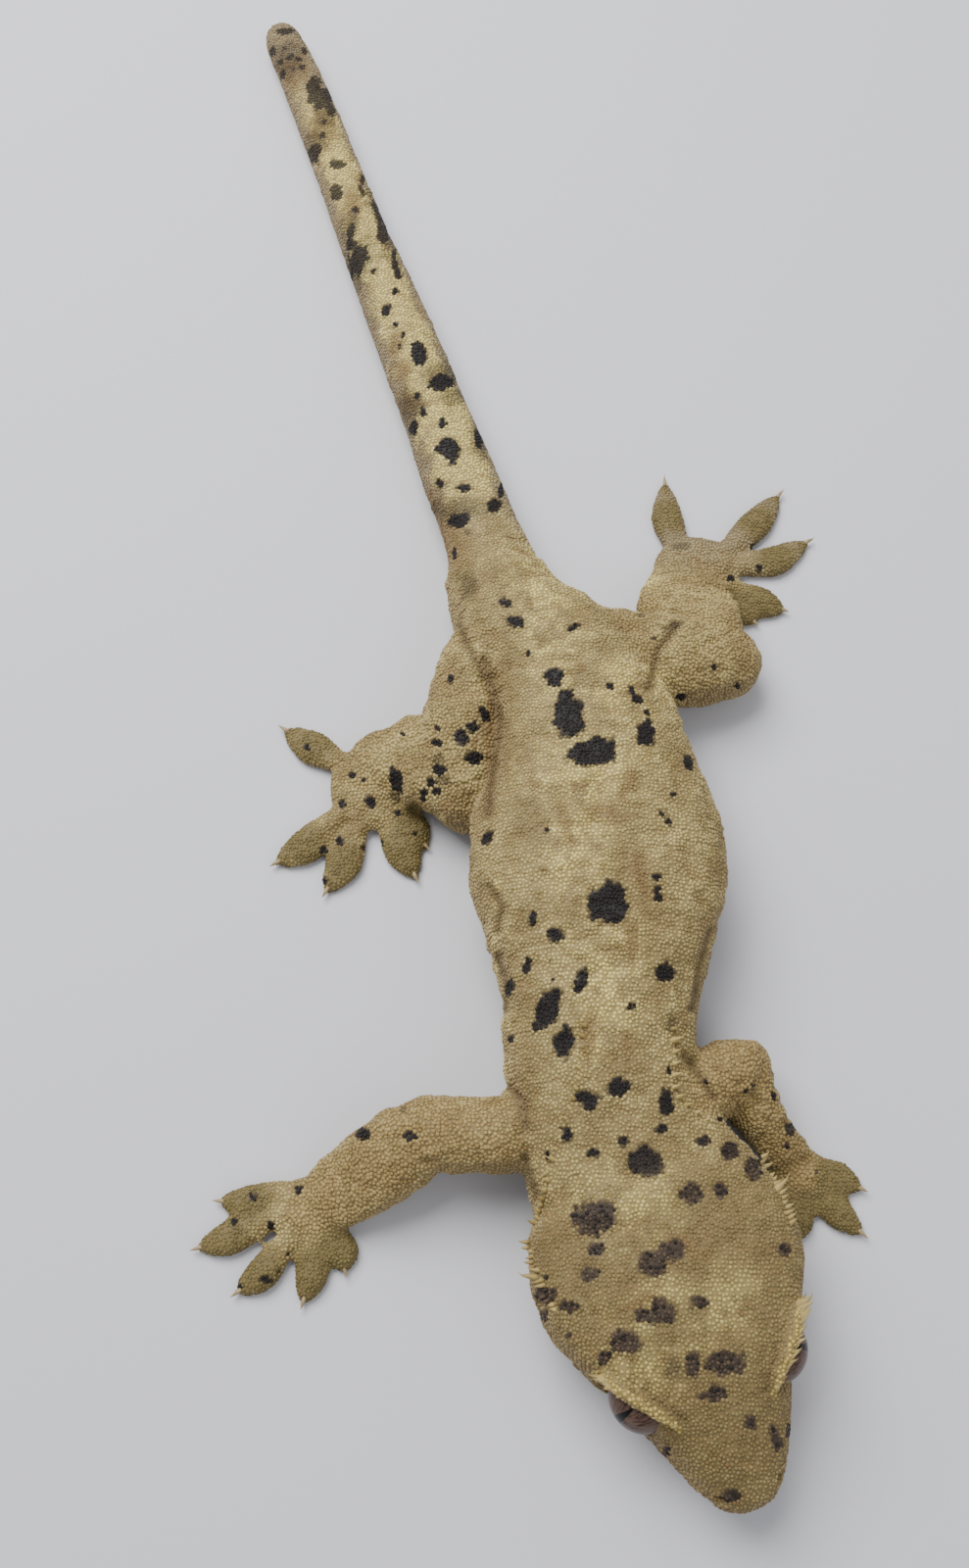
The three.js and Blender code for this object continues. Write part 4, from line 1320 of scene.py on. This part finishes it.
@dataclass
class Skin:
    """One closed skin over head, trunk, tail and limbs."""

    voxel: float = 0.4
    smoothing: int = 4
    # How strongly the gaps between the scales are painted with shade
    gap_shade_share: float = 0.7
    bump: float = 0.05
    hide: Hide = field(default_factory=Hide)

    def forms(self) -> bmesh.types.BMesh:
        """All the flesh forms, still overlapping.

        Returns:
            A bmesh in plan millimetres.
        """
        whole = Run(BODY_STATIONS).mesh(170, 56)
        join(whole, head_run().mesh(64, 56))
        for side in (-1, 1):
            join(whole, brow_run(side).mesh(40, 16))
        for stations in LIMBS.values():
            join(whole, Run(stations).mesh(28, 26))
        for foot in FEET.values():
            x, y, wide, long, high = foot.sole
            ball = bmesh.new()
            bmesh.ops.create_uvsphere(ball, u_segments=24, v_segments=14, radius=1)
            bmesh.ops.scale(ball, vec=(wide, long, high / 2 + PRESS), verts=ball.verts)
            bmesh.ops.translate(ball, vec=(x, y, high / 2 - PRESS), verts=ball.verts)
            join(whole, ball)
            for toe in foot.toes:
                join(whole, Run(toe_stations(foot, toe)).mesh(22, 14))
        return whole

    def remesh(self, forms: bmesh.types.BMesh) -> bpy.types.Mesh:
        """Fuses the forms to one closed surface.

        Args:
            forms: overlapping closed forms in plan millimetres; freed here.

        Returns:
            The fused mesh, in plan millimetres.
        """
        rough = bpy.data.meshes.new("forms")
        forms.to_mesh(rough)
        forms.free()
        holder = bpy.data.objects.new("forms", rough)
        bpy.context.scene.collection.objects.link(holder)
        fuse = holder.modifiers.new("fuse", "REMESH")
        fuse.mode = "VOXEL"
        fuse.voxel_size = self.voxel
        graph = bpy.context.evaluated_depsgraph_get()
        made = bpy.data.meshes.new_from_object(holder.evaluated_get(graph))
        bpy.data.objects.remove(holder)
        bpy.data.meshes.remove(rough)
        return made

    def build(self) -> bpy.types.Object:
        """Builds the skin in the frame and dresses it.

        Returns:
            The skin object.
        """
        mesh = self.remesh(self.forms())
        bm = bmesh.new()
        bm.from_mesh(mesh)
        axes = dict.fromkeys(("use_axis_x", "use_axis_y", "use_axis_z"), True)
        for _ in range(self.smoothing):
            bmesh.ops.smooth_vert(bm, verts=bm.verts, factor=0.5, **axes)
        bmesh.ops.recalc_face_normals(bm, faces=bm.faces)
        bm.to_mesh(mesh)
        bm.free()
        plan = Relief().shape(coords(mesh), normals(mesh))
        plan[:, 2] = np.maximum(plan[:, 2], 0.0)
        set_coords(mesh, plan)
        MARKINGS.dress(mesh, plan, normals(mesh)[:, 2])
        float_attribute(mesh, "grain", np.full(len(plan), 0.5))
        float_attribute(mesh, "speck", np.zeros(len(plan)))
        set_coords(mesh, to_frame(plan))
        look = self.hide.material("skin_under", self.gap_shade_share, self.bump)
        piece = finish_piece("skin", mesh, look)
        flesh = [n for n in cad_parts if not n.startswith("eye_")]
        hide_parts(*flesh)
        return piece


@dataclass
class Relief:
    """Folds, ridges and hollows worked into the fused surface."""

    inset: float = 0.05
    groove: float = 0.42
    lip: float = 0.16
    ear_depth: float = 1.1
    nostril_depth: float = 0.55
    nostril_rim: float = 0.12
    wrinkle: float = 0.24
    lump: float = 0.3
    # Ear and nostril: distance back, out and up
    ear: Three = (23.4, 13.5, 7.6)
    ear_size: Three = (1.4, 1.4, 1.9)
    nostril: Three = (1.9, 2.9, 7.7)

    def shape(self, plan: np.ndarray, normal: np.ndarray) -> np.ndarray:
        """Moves the surface along its normals.

        Args:
            plan: places in plan millimetres.
            normal: the surface's normals.

        Returns:
            The new places.
        """
        back, _ = head_place(plan)
        _, y, z = plan.T
        push = np.full(len(plan), -self.inset)
        over = z - mouth_z(back)
        push -= self.groove * bump_at(over, 0.26) * (back < MOUTH_CORNER + 0.8) * (back > MOUTH_START)
        push += self.lip * bump_at(over - 0.85, 0.45) * (back < MOUTH_CORNER) * (back > MOUTH_START)
        for side in (-1, 1):
            ear = in_head(self.ear[0], side * self.ear[1], self.ear[2])
            away = np.linalg.norm((plan - ear) / self.ear_size, axis=1)
            push -= self.ear_depth * (1 - smooth_step(0.5, 1.1, away))
            hole = in_head(self.nostril[0], side * self.nostril[1], self.nostril[2])
            away = np.linalg.norm(plan - hole, axis=1)
            push -= self.nostril_depth * (1 - smooth_step(0.25, 0.7, away))
            push += self.nostril_rim * bump_at(away - 0.9, 0.3)
        trunk = smooth_step(-50, -44, y) * (1 - smooth_step(24, 34, y))
        raised = smooth_step(0.5, 3, z)
        folds = noise_at(plan * FOLD_PULL, FOLD_SIZE, FOLD_SHIFT)
        push += self.lump * noise_at(plan, 3.4, 3.0) * (0.35 + 0.65 * trunk) * raised
        push += self.wrinkle * folds * (0.3 + 0.7 * trunk) * raised
        push += 0.5 * self.wrinkle * noise_at(plan, 0.95, 8.0) * raised
        _, deep = creases_at(plan)
        push -= deep
        return self.sockets(self.orbits(plan + normal * push[:, None]))

    @staticmethod
    def orbits(plan: np.ndarray) -> np.ndarray:
        """Hollows the side of the head round each eye.

        Args:
            plan: places in plan millimetres.

        Returns:
            The new places.
        """
        shaped = plan.copy()
        for side in (-1, 1):
            centre = in_head(ORBIT[0], side * ORBIT[1], ORBIT[2])
            inward = -side * np.array([*LEFT_WAY, 0.0])
            rel = shaped - centre
            inside = np.where(np.linalg.norm(rel, axis=1) < ORBIT_RADIUS)[0]
            along = rel[inside] @ inward
            across = np.linalg.norm(rel[inside] - along[:, None] * inward, axis=1)
            reach = np.sqrt(np.maximum(ORBIT_RADIUS**2 - across**2, 0))
            shaped[inside] += (0.85 * (reach - along))[:, None] * inward
        return shaped

    @staticmethod
    def sockets(plan: np.ndarray) -> np.ndarray:
        """Opens a round socket for each eye, with a rim that wraps the ball.

        Args:
            plan: places in plan millimetres.

        Returns:
            The new places.
        """
        shaped = plan.copy()
        for side in (-1, 1):
            centre = in_head(EYE_BACK, side * EYE_OUT, EYE_Z)
            rel = shaped - centre
            away = np.linalg.norm(rel, axis=1)
            way = rel / away[:, None]
            gaze = np.array(gaze_of(side))
            turn = np.arccos(np.clip(way @ gaze, -1, 1))
            inside = (away < EYE_RADIUS + 1.6) & (turn < math.radians(62))
            opened = EYE_RADIUS - 0.9 + 1.45 * smooth_step(math.radians(44), math.radians(56), turn)
            rim = np.where(turn < math.radians(52), np.minimum(away, opened), away)
            shaped[inside] = (centre + way * rim[:, None])[inside]
        return shaped


# The coat of granules


@dataclass(frozen=True)
class Ring:
    """One ring of a scale or spine: its radius and height as shares, and how far it leans."""

    radius: float
    lift: float
    lean: float = 0.0


@dataclass
class Granules:
    """Small domed scales set close over the skin, in pieces by region."""

    spacing: float = 0.335
    crowding: float = 3.2
    radius: float = 0.64
    height: float = 0.115
    limb_growth: float = 0.22
    sides: int = 6
    # No scales below this height, or where the skin faces down more than this
    lowest: float = 0.25
    steepest: float = -0.55
    bump: float = 0.02
    head_end: float = 29.3
    arm_end: float = -20
    rings: tuple[Ring, ...] = (Ring(1.0, -0.1), Ring(0.76, 0.75))
    # The pieces along the trunk and where each ends
    lengths: tuple[tuple[str, float], ...] = (
        ("shoulder_scales", -22),
        ("back_scales", -4),
        ("hip_scales", 24),
        ("tail_scales", 58),
        ("tail_tip_scales", math.inf),
    )
    hide: Hide = field(default_factory=Hide)

    def scatter(self, skin: bpy.types.Object) -> tuple[np.ndarray, np.ndarray]:
        """Even random places on the skin.

        Args:
            skin: the skin object.

        Returns:
            Places in plan millimetres and normals.
        """
        tree = bpy.data.node_groups.new("scatter", "GeometryNodeTree")
        tree.interface.new_socket("Geometry", in_out="INPUT", socket_type="NodeSocketGeometry")
        tree.interface.new_socket("Geometry", in_out="OUTPUT", socket_type="NodeSocketGeometry")
        g = Graph(tree)
        inlet, outlet = g.add("NodeGroupInput"), g.add("NodeGroupOutput")
        inputs = {
            "Mesh": inlet.outputs[0],
            "Distance Min": self.spacing * MM,
            "Density Max": self.crowding / (self.spacing * MM) ** 2,
            "Seed": SEED,
        }
        spread = g.add("GeometryNodeDistributePointsOnFaces", distribute_method="POISSON")
        g.fill(spread, inputs)
        inputs = {"Name": "way", "Geometry": spread.outputs["Points"], "Value": spread.outputs["Normal"]}
        store = g.add("GeometryNodeStoreNamedAttribute", data_type="FLOAT_VECTOR", domain="POINT")
        g.fill(store, inputs)
        verts = g.add("GeometryNodePointsToVertices", {"Points": store.outputs["Geometry"]})
        g.feed(outlet.inputs[0], verts.outputs["Mesh"])
        holder = bpy.data.objects.new("scatter", skin.data.copy())
        bpy.context.scene.collection.objects.link(holder)
        modifier = holder.modifiers.new("scatter", "NODES")
        modifier.node_group = tree
        graph = bpy.context.evaluated_depsgraph_get()
        made = bpy.data.meshes.new_from_object(holder.evaluated_get(graph))
        places = to_plan(coords(made))
        ways = vectors(made.attributes["way"].data, "vector")
        bpy.data.objects.remove(holder)
        bpy.data.meshes.remove(made)
        return places, ways

    def regions(self, places: np.ndarray) -> dict[str, np.ndarray]:
        """Sorts the places into the pieces of the coat.

        Args:
            places: roots in plan millimetres.

        Returns:
            The numbers of each piece's places, by the piece's name.
        """
        x, y, _ = places.T
        trunk = Run(BODY_STATIONS)
        share = np.linspace(0, 1, 400)
        spine, _ = trunk.line(share)
        middle = np.interp(y, spine[:, 1], spine[:, 0])
        half = np.interp(y, spine[:, 1], trunk.sizes(share)[:, 0])
        head = head_place(places)[0] < self.head_end
        limb = (np.abs(x - middle) > half + 0.4) & ~head
        arm = y < self.arm_end
        named = {
            "head_scales": head,
            "arm_scales": limb & arm,
            "leg_scales_right": limb & ~arm & (x < middle),
            "leg_scales_left": limb & ~arm & (x >= middle),
        }
        start = -math.inf
        for name, end in self.lengths:
            named[name] = ~head & ~limb & (y >= start) & (y < end)
            start = end
        return {name: np.where(mask)[0] for name, mask in named.items()}

    def build(self, skin: bpy.types.Object) -> None:
        """Builds the whole coat.

        Args:
            skin: the skin it grows on.
        """
        places, ways = self.scatter(skin)
        keep = (places[:, 2] > self.lowest) & (ways[:, 2] > self.steepest)
        for side in (-1, 1):
            centre = in_head(EYE_BACK, side * EYE_OUT, EYE_Z)
            keep &= np.linalg.norm(places - centre, axis=1) > EYE_RADIUS + 0.1
        places, ways = places[keep], ways[keep]
        draw = np.random.default_rng(SEED)
        material = self.hide.material("scale_coat", 0.0, self.bump)
        for name, index in self.regions(places).items():
            mesh = self.piece(name, places[index], ways[index], draw)
            finish_piece(name, mesh, material)

    def piece(
        self, name: str, places: np.ndarray, ways: np.ndarray, draw: np.random.Generator
    ) -> bpy.types.Mesh:
        """One piece of the coat: a small dome at each place.

        Args:
            name: the piece's name.
            places: roots in plan millimetres.
            ways: normals at the roots.
            draw: the seeded random source.

        Returns:
            The mesh, in the frame, with its marks.
        """
        count = len(places)
        size = self.spacing * self.radius * draw.uniform(0.84, 1.1, count)
        tall = self.height * draw.uniform(0.7, 1.2, count)
        bigger = 1 + self.limb_growth * MARKINGS.limb(places) * (1 - MARKINGS.toe(places))
        return tufts(name, places, ways, size * bigger, tall * bigger, self.rings, self.sides, draw)


@dataclass
class Unwrap:
    """Lays the skin flat: each run of the body is unrolled into its own tile of a square."""

    samples: int = 70
    tiles: list[tuple[Run, tuple[float, float, float, float]]] = field(default_factory=list)

    def __post_init__(self) -> None:
        """Gives every run its tile: the trunk on top, the head and limbs below, then the toes."""
        self.tiles.append((Run(BODY_STATIONS), (0.02, 0.66, 0.96, 0.32)))
        self.tiles.append((head_run(), (0.02, 0.36, 0.36, 0.27)))
        for k, stations in enumerate(LIMBS.values()):
            self.tiles.append((Run(stations), (0.40 + 0.15 * (k % 4), 0.36 + 0.14 * (k // 4), 0.13, 0.12)))
        toes = [Run(toe_stations(foot, toe)) for foot in FEET.values() for toe in foot.toes]
        for k, run in enumerate(toes):
            self.tiles.append((run, (0.02 + 0.097 * (k % 10), 0.02 + 0.16 * (k // 10), 0.085, 0.14)))

    def place(self, points: np.ndarray) -> np.ndarray:
        """Where points of the skin lie on the flat square.

        Args:
            points: places in plan millimetres.

        Returns:
            Two coordinates from 0 to 1, one row a point.
        """
        best = np.full(len(points), np.inf)
        flat = np.zeros((len(points), 2))
        share = np.linspace(0, 1, self.samples)
        for run, (left, low, wide, high) in self.tiles:
            centre, slope = run.line(share)
            form = run.sizes(share)
            reach = 0.6 * np.ptp(centre, axis=0).max() + 18
            near = np.where(np.abs(points - centre.mean(axis=0)).max(axis=1) < reach)[0]
            away = np.linalg.norm(points[near, None] - centre[None], axis=2)
            index = away.argmin(axis=1)
            score = away[np.arange(len(near)), index] / np.maximum(form[index, 0], 0.8)
            along = slope[index, :2] / np.linalg.norm(slope[index, :2], axis=1)[:, None]
            rel = points[near] - centre[index]
            out = rel[:, 0] * along[:, 1] - rel[:, 1] * along[:, 0]
            angle = np.arctan2(out, -rel[:, 2]) / (2 * math.pi) + 0.5
            better = score < best[near]
            best[near[better]] = score[better]
            spot = np.column_stack([left + wide * share[index], low + high * angle])
            flat[near[better]] = spot[better]
        return flat


UNWRAP = Unwrap()
PATCH = 0.0015


def tufts(
    name: str,
    places: np.ndarray,
    ways: np.ndarray,
    size: np.ndarray,
    tall: np.ndarray,
    rings: tuple[Ring, ...],
    sides: int,
    draw: np.random.Generator,
    lean: np.ndarray = np.zeros(3),
) -> bpy.types.Mesh:
    """One joined mesh with a small closed dome or spine at each place.

    Args:
        name: the mesh's name.
        places: roots in plan millimetres.
        ways: the way each stands.
        size: radius of each at its root.
        tall: height of each.
        rings: the rings from the root up; a point closes each end.
        sides: sides of each.
        draw: the seeded random source.
        lean: how far each leans as it rises.

    Returns:
        The mesh, in the frame, with its marks and its unwrap.
    """
    count, n = len(places), sides
    across = np.cross(ways, draw.normal(size=(count, 3)))
    across /= np.linalg.norm(across, axis=1)[:, None]
    other = np.cross(ways, across)
    angle = np.arange(n) / n * 2 * math.pi
    turned = across[:, None] * np.cos(angle)[None, :, None] + other[:, None] * np.sin(angle)[None, :, None]
    rows, flats = [], []
    for ring in rings:
        rise = ways * (tall * ring.lift)[:, None] + lean * (tall * ring.lean)[:, None]
        rows.append(turned * (size * ring.radius)[:, None, None] + rise[:, None])
        flats.append(np.column_stack([np.cos(angle), np.sin(angle)]) * PATCH * ring.radius)
    top = (ways * tall[:, None] + lean * tall[:, None])[:, None]
    under = (ways * ((rings[0].lift - 0.15) * tall)[:, None])[:, None]
    shape = np.concatenate([*rows, top, under], axis=1) + places[:, None]
    each = shape.shape[1]
    last = (len(rings) - 1) * n
    quads = [(r * n + k, r * n + (k + 1) % n, (r + 1) * n + (k + 1) % n, (r + 1) * n + k)
             for r in range(len(rings) - 1) for k in range(n)]
    tris = [(last + k, last + (k + 1) % n, each - 2) for k in range(n)]
    tris += [((k + 1) % n, k, each - 1) for k in range(n)]
    base = np.arange(count)[:, None, None] * each
    walls = np.array(quads, int).reshape(-1, 4)
    loops = np.concatenate([(walls[None] + base).ravel(), (np.array(tris)[None] + base).ravel()])
    sizes = np.concatenate([np.full(count * len(quads), 4), np.full(count * len(tris), 3)])
    mesh = bpy.data.meshes.new(name)
    mesh.vertices.add(count * each)
    mesh.vertices.foreach_set("co", to_frame(shape.reshape(-1, 3)).astype(np.float32).ravel())
    mesh.loops.add(len(loops))
    mesh.loops.foreach_set("vertex_index", loops.astype(np.int32))
    mesh.polygons.add(len(sizes))
    mesh.polygons.foreach_set("loop_start", np.concatenate([[0], np.cumsum(sizes)[:-1]]).astype(np.int32))
    mesh.update(calc_edges=True)
    patch = np.concatenate([*flats, np.zeros((2, 2))])
    flat = (UNWRAP.place(places)[:, None] + patch[None]).reshape(-1, 2)
    chart = mesh.uv_layers.new(name="OFBake")
    chart.uv.foreach_set("vector", flat[loops].astype(np.float32).ravel())
    MARKINGS.dress(mesh, places, ways[:, 2], each)
    float_attribute(mesh, "grain", np.repeat(draw.uniform(0, 1, count), each))
    float_attribute(mesh, "speck", np.repeat(0.6 * (draw.uniform(0, 1, count) < 0.006), each))
    return mesh


# Eyes, claws and spines


@dataclass
class Eyes:
    """The two eyeballs."""

    iris: Iris = field(default_factory=Iris)

    def build(self) -> None:
        """Builds both eyes in place of the solids' own."""
        for side, name in ((-1, "right"), (1, "left")):
            bm = bmesh.new()
            bmesh.ops.create_uvsphere(bm, u_segments=56, v_segments=40, radius=EYE_RADIUS)
            centre = in_head(EYE_BACK, side * EYE_OUT, EYE_Z)
            bmesh.ops.translate(bm, vec=centre, verts=bm.verts)
            mesh = bpy.data.meshes.new("eyeball_" + name)
            bm.to_mesh(mesh)
            bm.free()
            set_coords(mesh, to_frame(coords(mesh)))
            look = self.iris.material("iris_" + name, to_frame(centre[None])[0], gaze_of(side))
            piece = finish_piece("eyeball_" + name, mesh, look)
            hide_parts("eye_" + name)


@dataclass
class Crest:
    """Soft spines along the brows, the edges of the crown and both sides of the neck."""

    crown: int = 15
    neck: int = 23
    lashes: int = 23
    tallest: float = 1.8
    radius: float = 0.45
    sides: int = 8
    bump: float = 0.01
    pale: float = 0.4
    # Where the spines of the crown start and end: distance back and out
    crown_from: tuple[float, float] = (22.6, 12.3)
    crown_to: tuple[float, float] = (29.4, 12.7)
    crown_peak: float = 26
    # The two long spines behind each brow: where the first stands, the step to the next, the height
    corner: tuple[float, float] = (15.1, 9.9)
    corner_step: tuple[float, float] = (0.55, 0.3)
    corner_tall: float = 1.25
    rings: tuple[Ring, ...] = (
        Ring(1.0, -0.3),
        Ring(0.8, 0.15),
        Ring(0.45, 0.5, 0.05),
        Ring(0.18, 0.8, 0.14),
    )
    hide: Hide = field(default_factory=Hide)

    def crown_roots(self, draw: np.random.Generator) -> list[Root]:
        """The spines along the edges of the crown.

        Args:
            draw: the seeded random source.

        Returns:
            Root, way and height of each.
        """
        run, made = head_run(), []
        (back_from, out_from), (back_to, out_to) = self.crown_from, self.crown_to
        for side in (-1, 1):
            for i in range(self.crown):
                along = i / (self.crown - 1)
                back = back_from + (back_to - back_from) * along
                out = out_from + (out_to - out_from) * math.sqrt(along) + draw.uniform(-0.3, 0.2)
                z = run.height(head_share(back), out)
                way = head_way(side * 1.1, draw.uniform(-0.1, 0.5), 0.4)
                peak = math.exp(-(((back - self.crown_peak) / 0.5) ** 2))
                tall = self.tallest * (0.36 * draw.uniform(0.6, 1.5) + 0.5 * peak)
                made.append((in_head(back, side * out, z), way, tall))
        return made

    def neck_roots(self, draw: np.random.Generator) -> list[Root]:
        """The spines down the neck.

        Args:
            draw: the seeded random source.

        Returns:
            Root, way and height of each.
        """
        run, made = Run(BODY_STATIONS), []
        stops = [station[1] for station in BODY_STATIONS]
        for side, line in NECK_CREST.items():
            marks = np.array(line)
            for i in range(self.neck):
                place = i / (self.neck - 1) * (len(marks) - 1)
                x = float(np.interp(place, range(len(marks)), marks[:, 0]))
                y = float(np.interp(place, range(len(marks)), marks[:, 1]))
                share = float(np.interp(y, stops, np.linspace(0, 1, len(stops))))
                middle = run.line(np.array([share]))[0][0]
                z = run.height(share, math.hypot(x - middle[0], y - middle[1]))
                way = np.array([side * 0.75, 0.12, 0.8])
                tall = self.tallest * (0.62 if i % 4 == 1 else 0.4) * draw.uniform(0.6, 1.3)
                tall *= 1.2 + 0.25 * side
                made.append((np.array([x, y, z]), way / np.linalg.norm(way), tall))
        return made

    def lash_roots(self, draw: np.random.Generator) -> list[Root]:
        """The fringe along the outer edge of each brow, and two long spines behind it.

        Args:
            draw: the seeded random source.

        Returns:
            Root, way and height of each.
        """
        made = []
        halves = [half for _, _, half in BROW_STOPS]
        for side in (-1, 1):
            run = brow_run(side)
            for i in range(self.lashes):
                along = 0.12 + 0.8 * i / (self.lashes - 1)
                half = float(np.interp(along * (len(halves) - 1), range(len(halves)), halves))
                at = run.line(np.array([along]))[0][0] + np.array([*(side * LEFT_WAY * half * 0.8), 0.1])
                way = head_way(side, draw.uniform(-0.1, 0.4), 0.3)
                tall = (0.42 + 0.3 * along) * draw.uniform(0.6, 1.5) * (1.2 + 0.4 * side)
                made.append((at, way, tall))
            for i in range(2):
                back, out = (start + i * step for start, step in zip(self.corner, self.corner_step))
                z = head_run().height(head_share(back), out)
                tall = self.corner_tall * draw.uniform(0.8, 1.1)
                made.append((in_head(back, side * out, z), head_way(side, 0.5, 0.5), tall))
        return made

    def build(self) -> None:
        """Builds every spine as one piece."""
        draw = np.random.default_rng(SEED + 1)
        roots = self.crown_roots(draw) + self.neck_roots(draw) + self.lash_roots(draw)
        places, ways, tall = (np.array(column) for column in zip(*roots))
        size = self.radius * np.clip(tall / self.tallest, 0.6, 1.15)
        lean = np.array([*(NAPE_WAY * 0.2), 0.15])
        mesh = tufts("crest_spines", places, ways, size, tall, self.rings, self.sides, draw, lean)
        float_attribute(mesh, "brow", np.full(len(mesh.vertices), self.pale))
        finish_piece("crest_spines", mesh, self.hide.material("spine_skin", 0.0, self.bump))


@dataclass
class Claws:
    """A small hooked claw at the end of each toe."""

    length: float = 1.15
    radius: float = 0.26
    sides: int = 8
    sunk: float = 0.85
    height: float = 0.85
    hook: float = 0.45
    rings: tuple[Ring, ...] = (
        Ring(1.0, -0.2),
        Ring(0.85, 0.3, -0.02),
        Ring(0.55, 0.65, -0.12),
        Ring(0.25, 0.88, -0.28),
    )
    horn: Horn = field(default_factory=Horn)

    def build(self) -> None:
        """Builds every claw as one piece."""
        places, ways = [], []
        for toe in (toe for foot in FEET.values() for toe in foot.toes):
            pad, tip = np.array(toe[2:4]), np.array(toe[4:6])
            way = (tip - pad) / np.linalg.norm(tip - pad)
            places.append([*(tip - way * self.sunk), self.height])
            ways.append([*way, 0.0])
        draw = np.random.default_rng(SEED + 2)
        places, ways = np.array(places), np.array(ways)
        size, tall = np.full(len(places), self.radius), np.full(len(places), self.length)
        lean = np.array([0.0, 0.0, self.hook])
        mesh = tufts("claws", places, ways, size, tall, self.rings, self.sides, draw, lean)
        finish_piece("claws", mesh, self.horn.material())


@dataclass(frozen=True)
class Studio:
    """A pale table and soft light from above."""

    floor_colour: Tone = (0.60, 0.60, 0.63)
    floor_half: float = 0.6
    floor_roughness: float = 0.75
    sky: Tone = (0.93, 0.95, 1)
    sky_strength: float = 0.5
    # Place, size and power of each light
    overhead: tuple[Three, float, float] = ((-0.16, 0.20, 0.40), 0.34, 3.9)
    fill: tuple[Three, float, float] = ((0.30, -0.25, 0.35), 0.35, 0.6)

    def build(self) -> None:
        """Builds the table top, the lights and the sky."""
        bm = bmesh.new()
        bmesh.ops.create_grid(bm, x_segments=2, y_segments=2, size=self.floor_half)
        mesh = bpy.data.meshes.new("table_top")
        bm.to_mesh(mesh)
        bm.free()
        table = bpy.data.objects.new("table_top", mesh)
        bpy.context.scene.collection.objects.link(table)
        material, g, shader = new_material("table_paint")
        g.fill(shader, {"Base Color": self.floor_colour, "Roughness": self.floor_roughness})
        mesh.materials.append(material)
        self.light("overhead", *self.overhead)
        self.light("fill", *self.fill)
        world = bpy.data.worlds.new("soft_sky")
        bpy.context.scene.world = world
        world.use_nodes = True
        background = world.node_tree.nodes["Background"]
        Graph(world.node_tree).fill(background, {"Color": self.sky, "Strength": self.sky_strength})

    @staticmethod
    def light(name: str, place: Three, size: float, power: float) -> None:
        """Adds a square soft light aimed at the animal.

        Args:
            name: the light's name.
            place: where it hangs, in metres.
            size: its side, in metres.
            power: its power, in watts.
        """
        data = bpy.data.lights.new(name, "AREA")
        data.size = size
        data.energy = power
        lamp = bpy.data.objects.new(name, data)
        bpy.context.scene.collection.objects.link(lamp)
        lamp.location = place
        lamp.rotation_euler = (-Vector(place)).to_track_quat("-Z", "Y").to_euler()


def main() -> None:
    """Builds the animal and its setting in order."""
    logging.basicConfig(level=logging.INFO, format="%(name)s %(message)s")
    VIEW.build()
    Studio().build()
    skin = Skin().build()
    Granules().build(skin)
    Crest().build()
    Claws().build()
    Eyes().build()


if __name__ == "__main__":
    main()
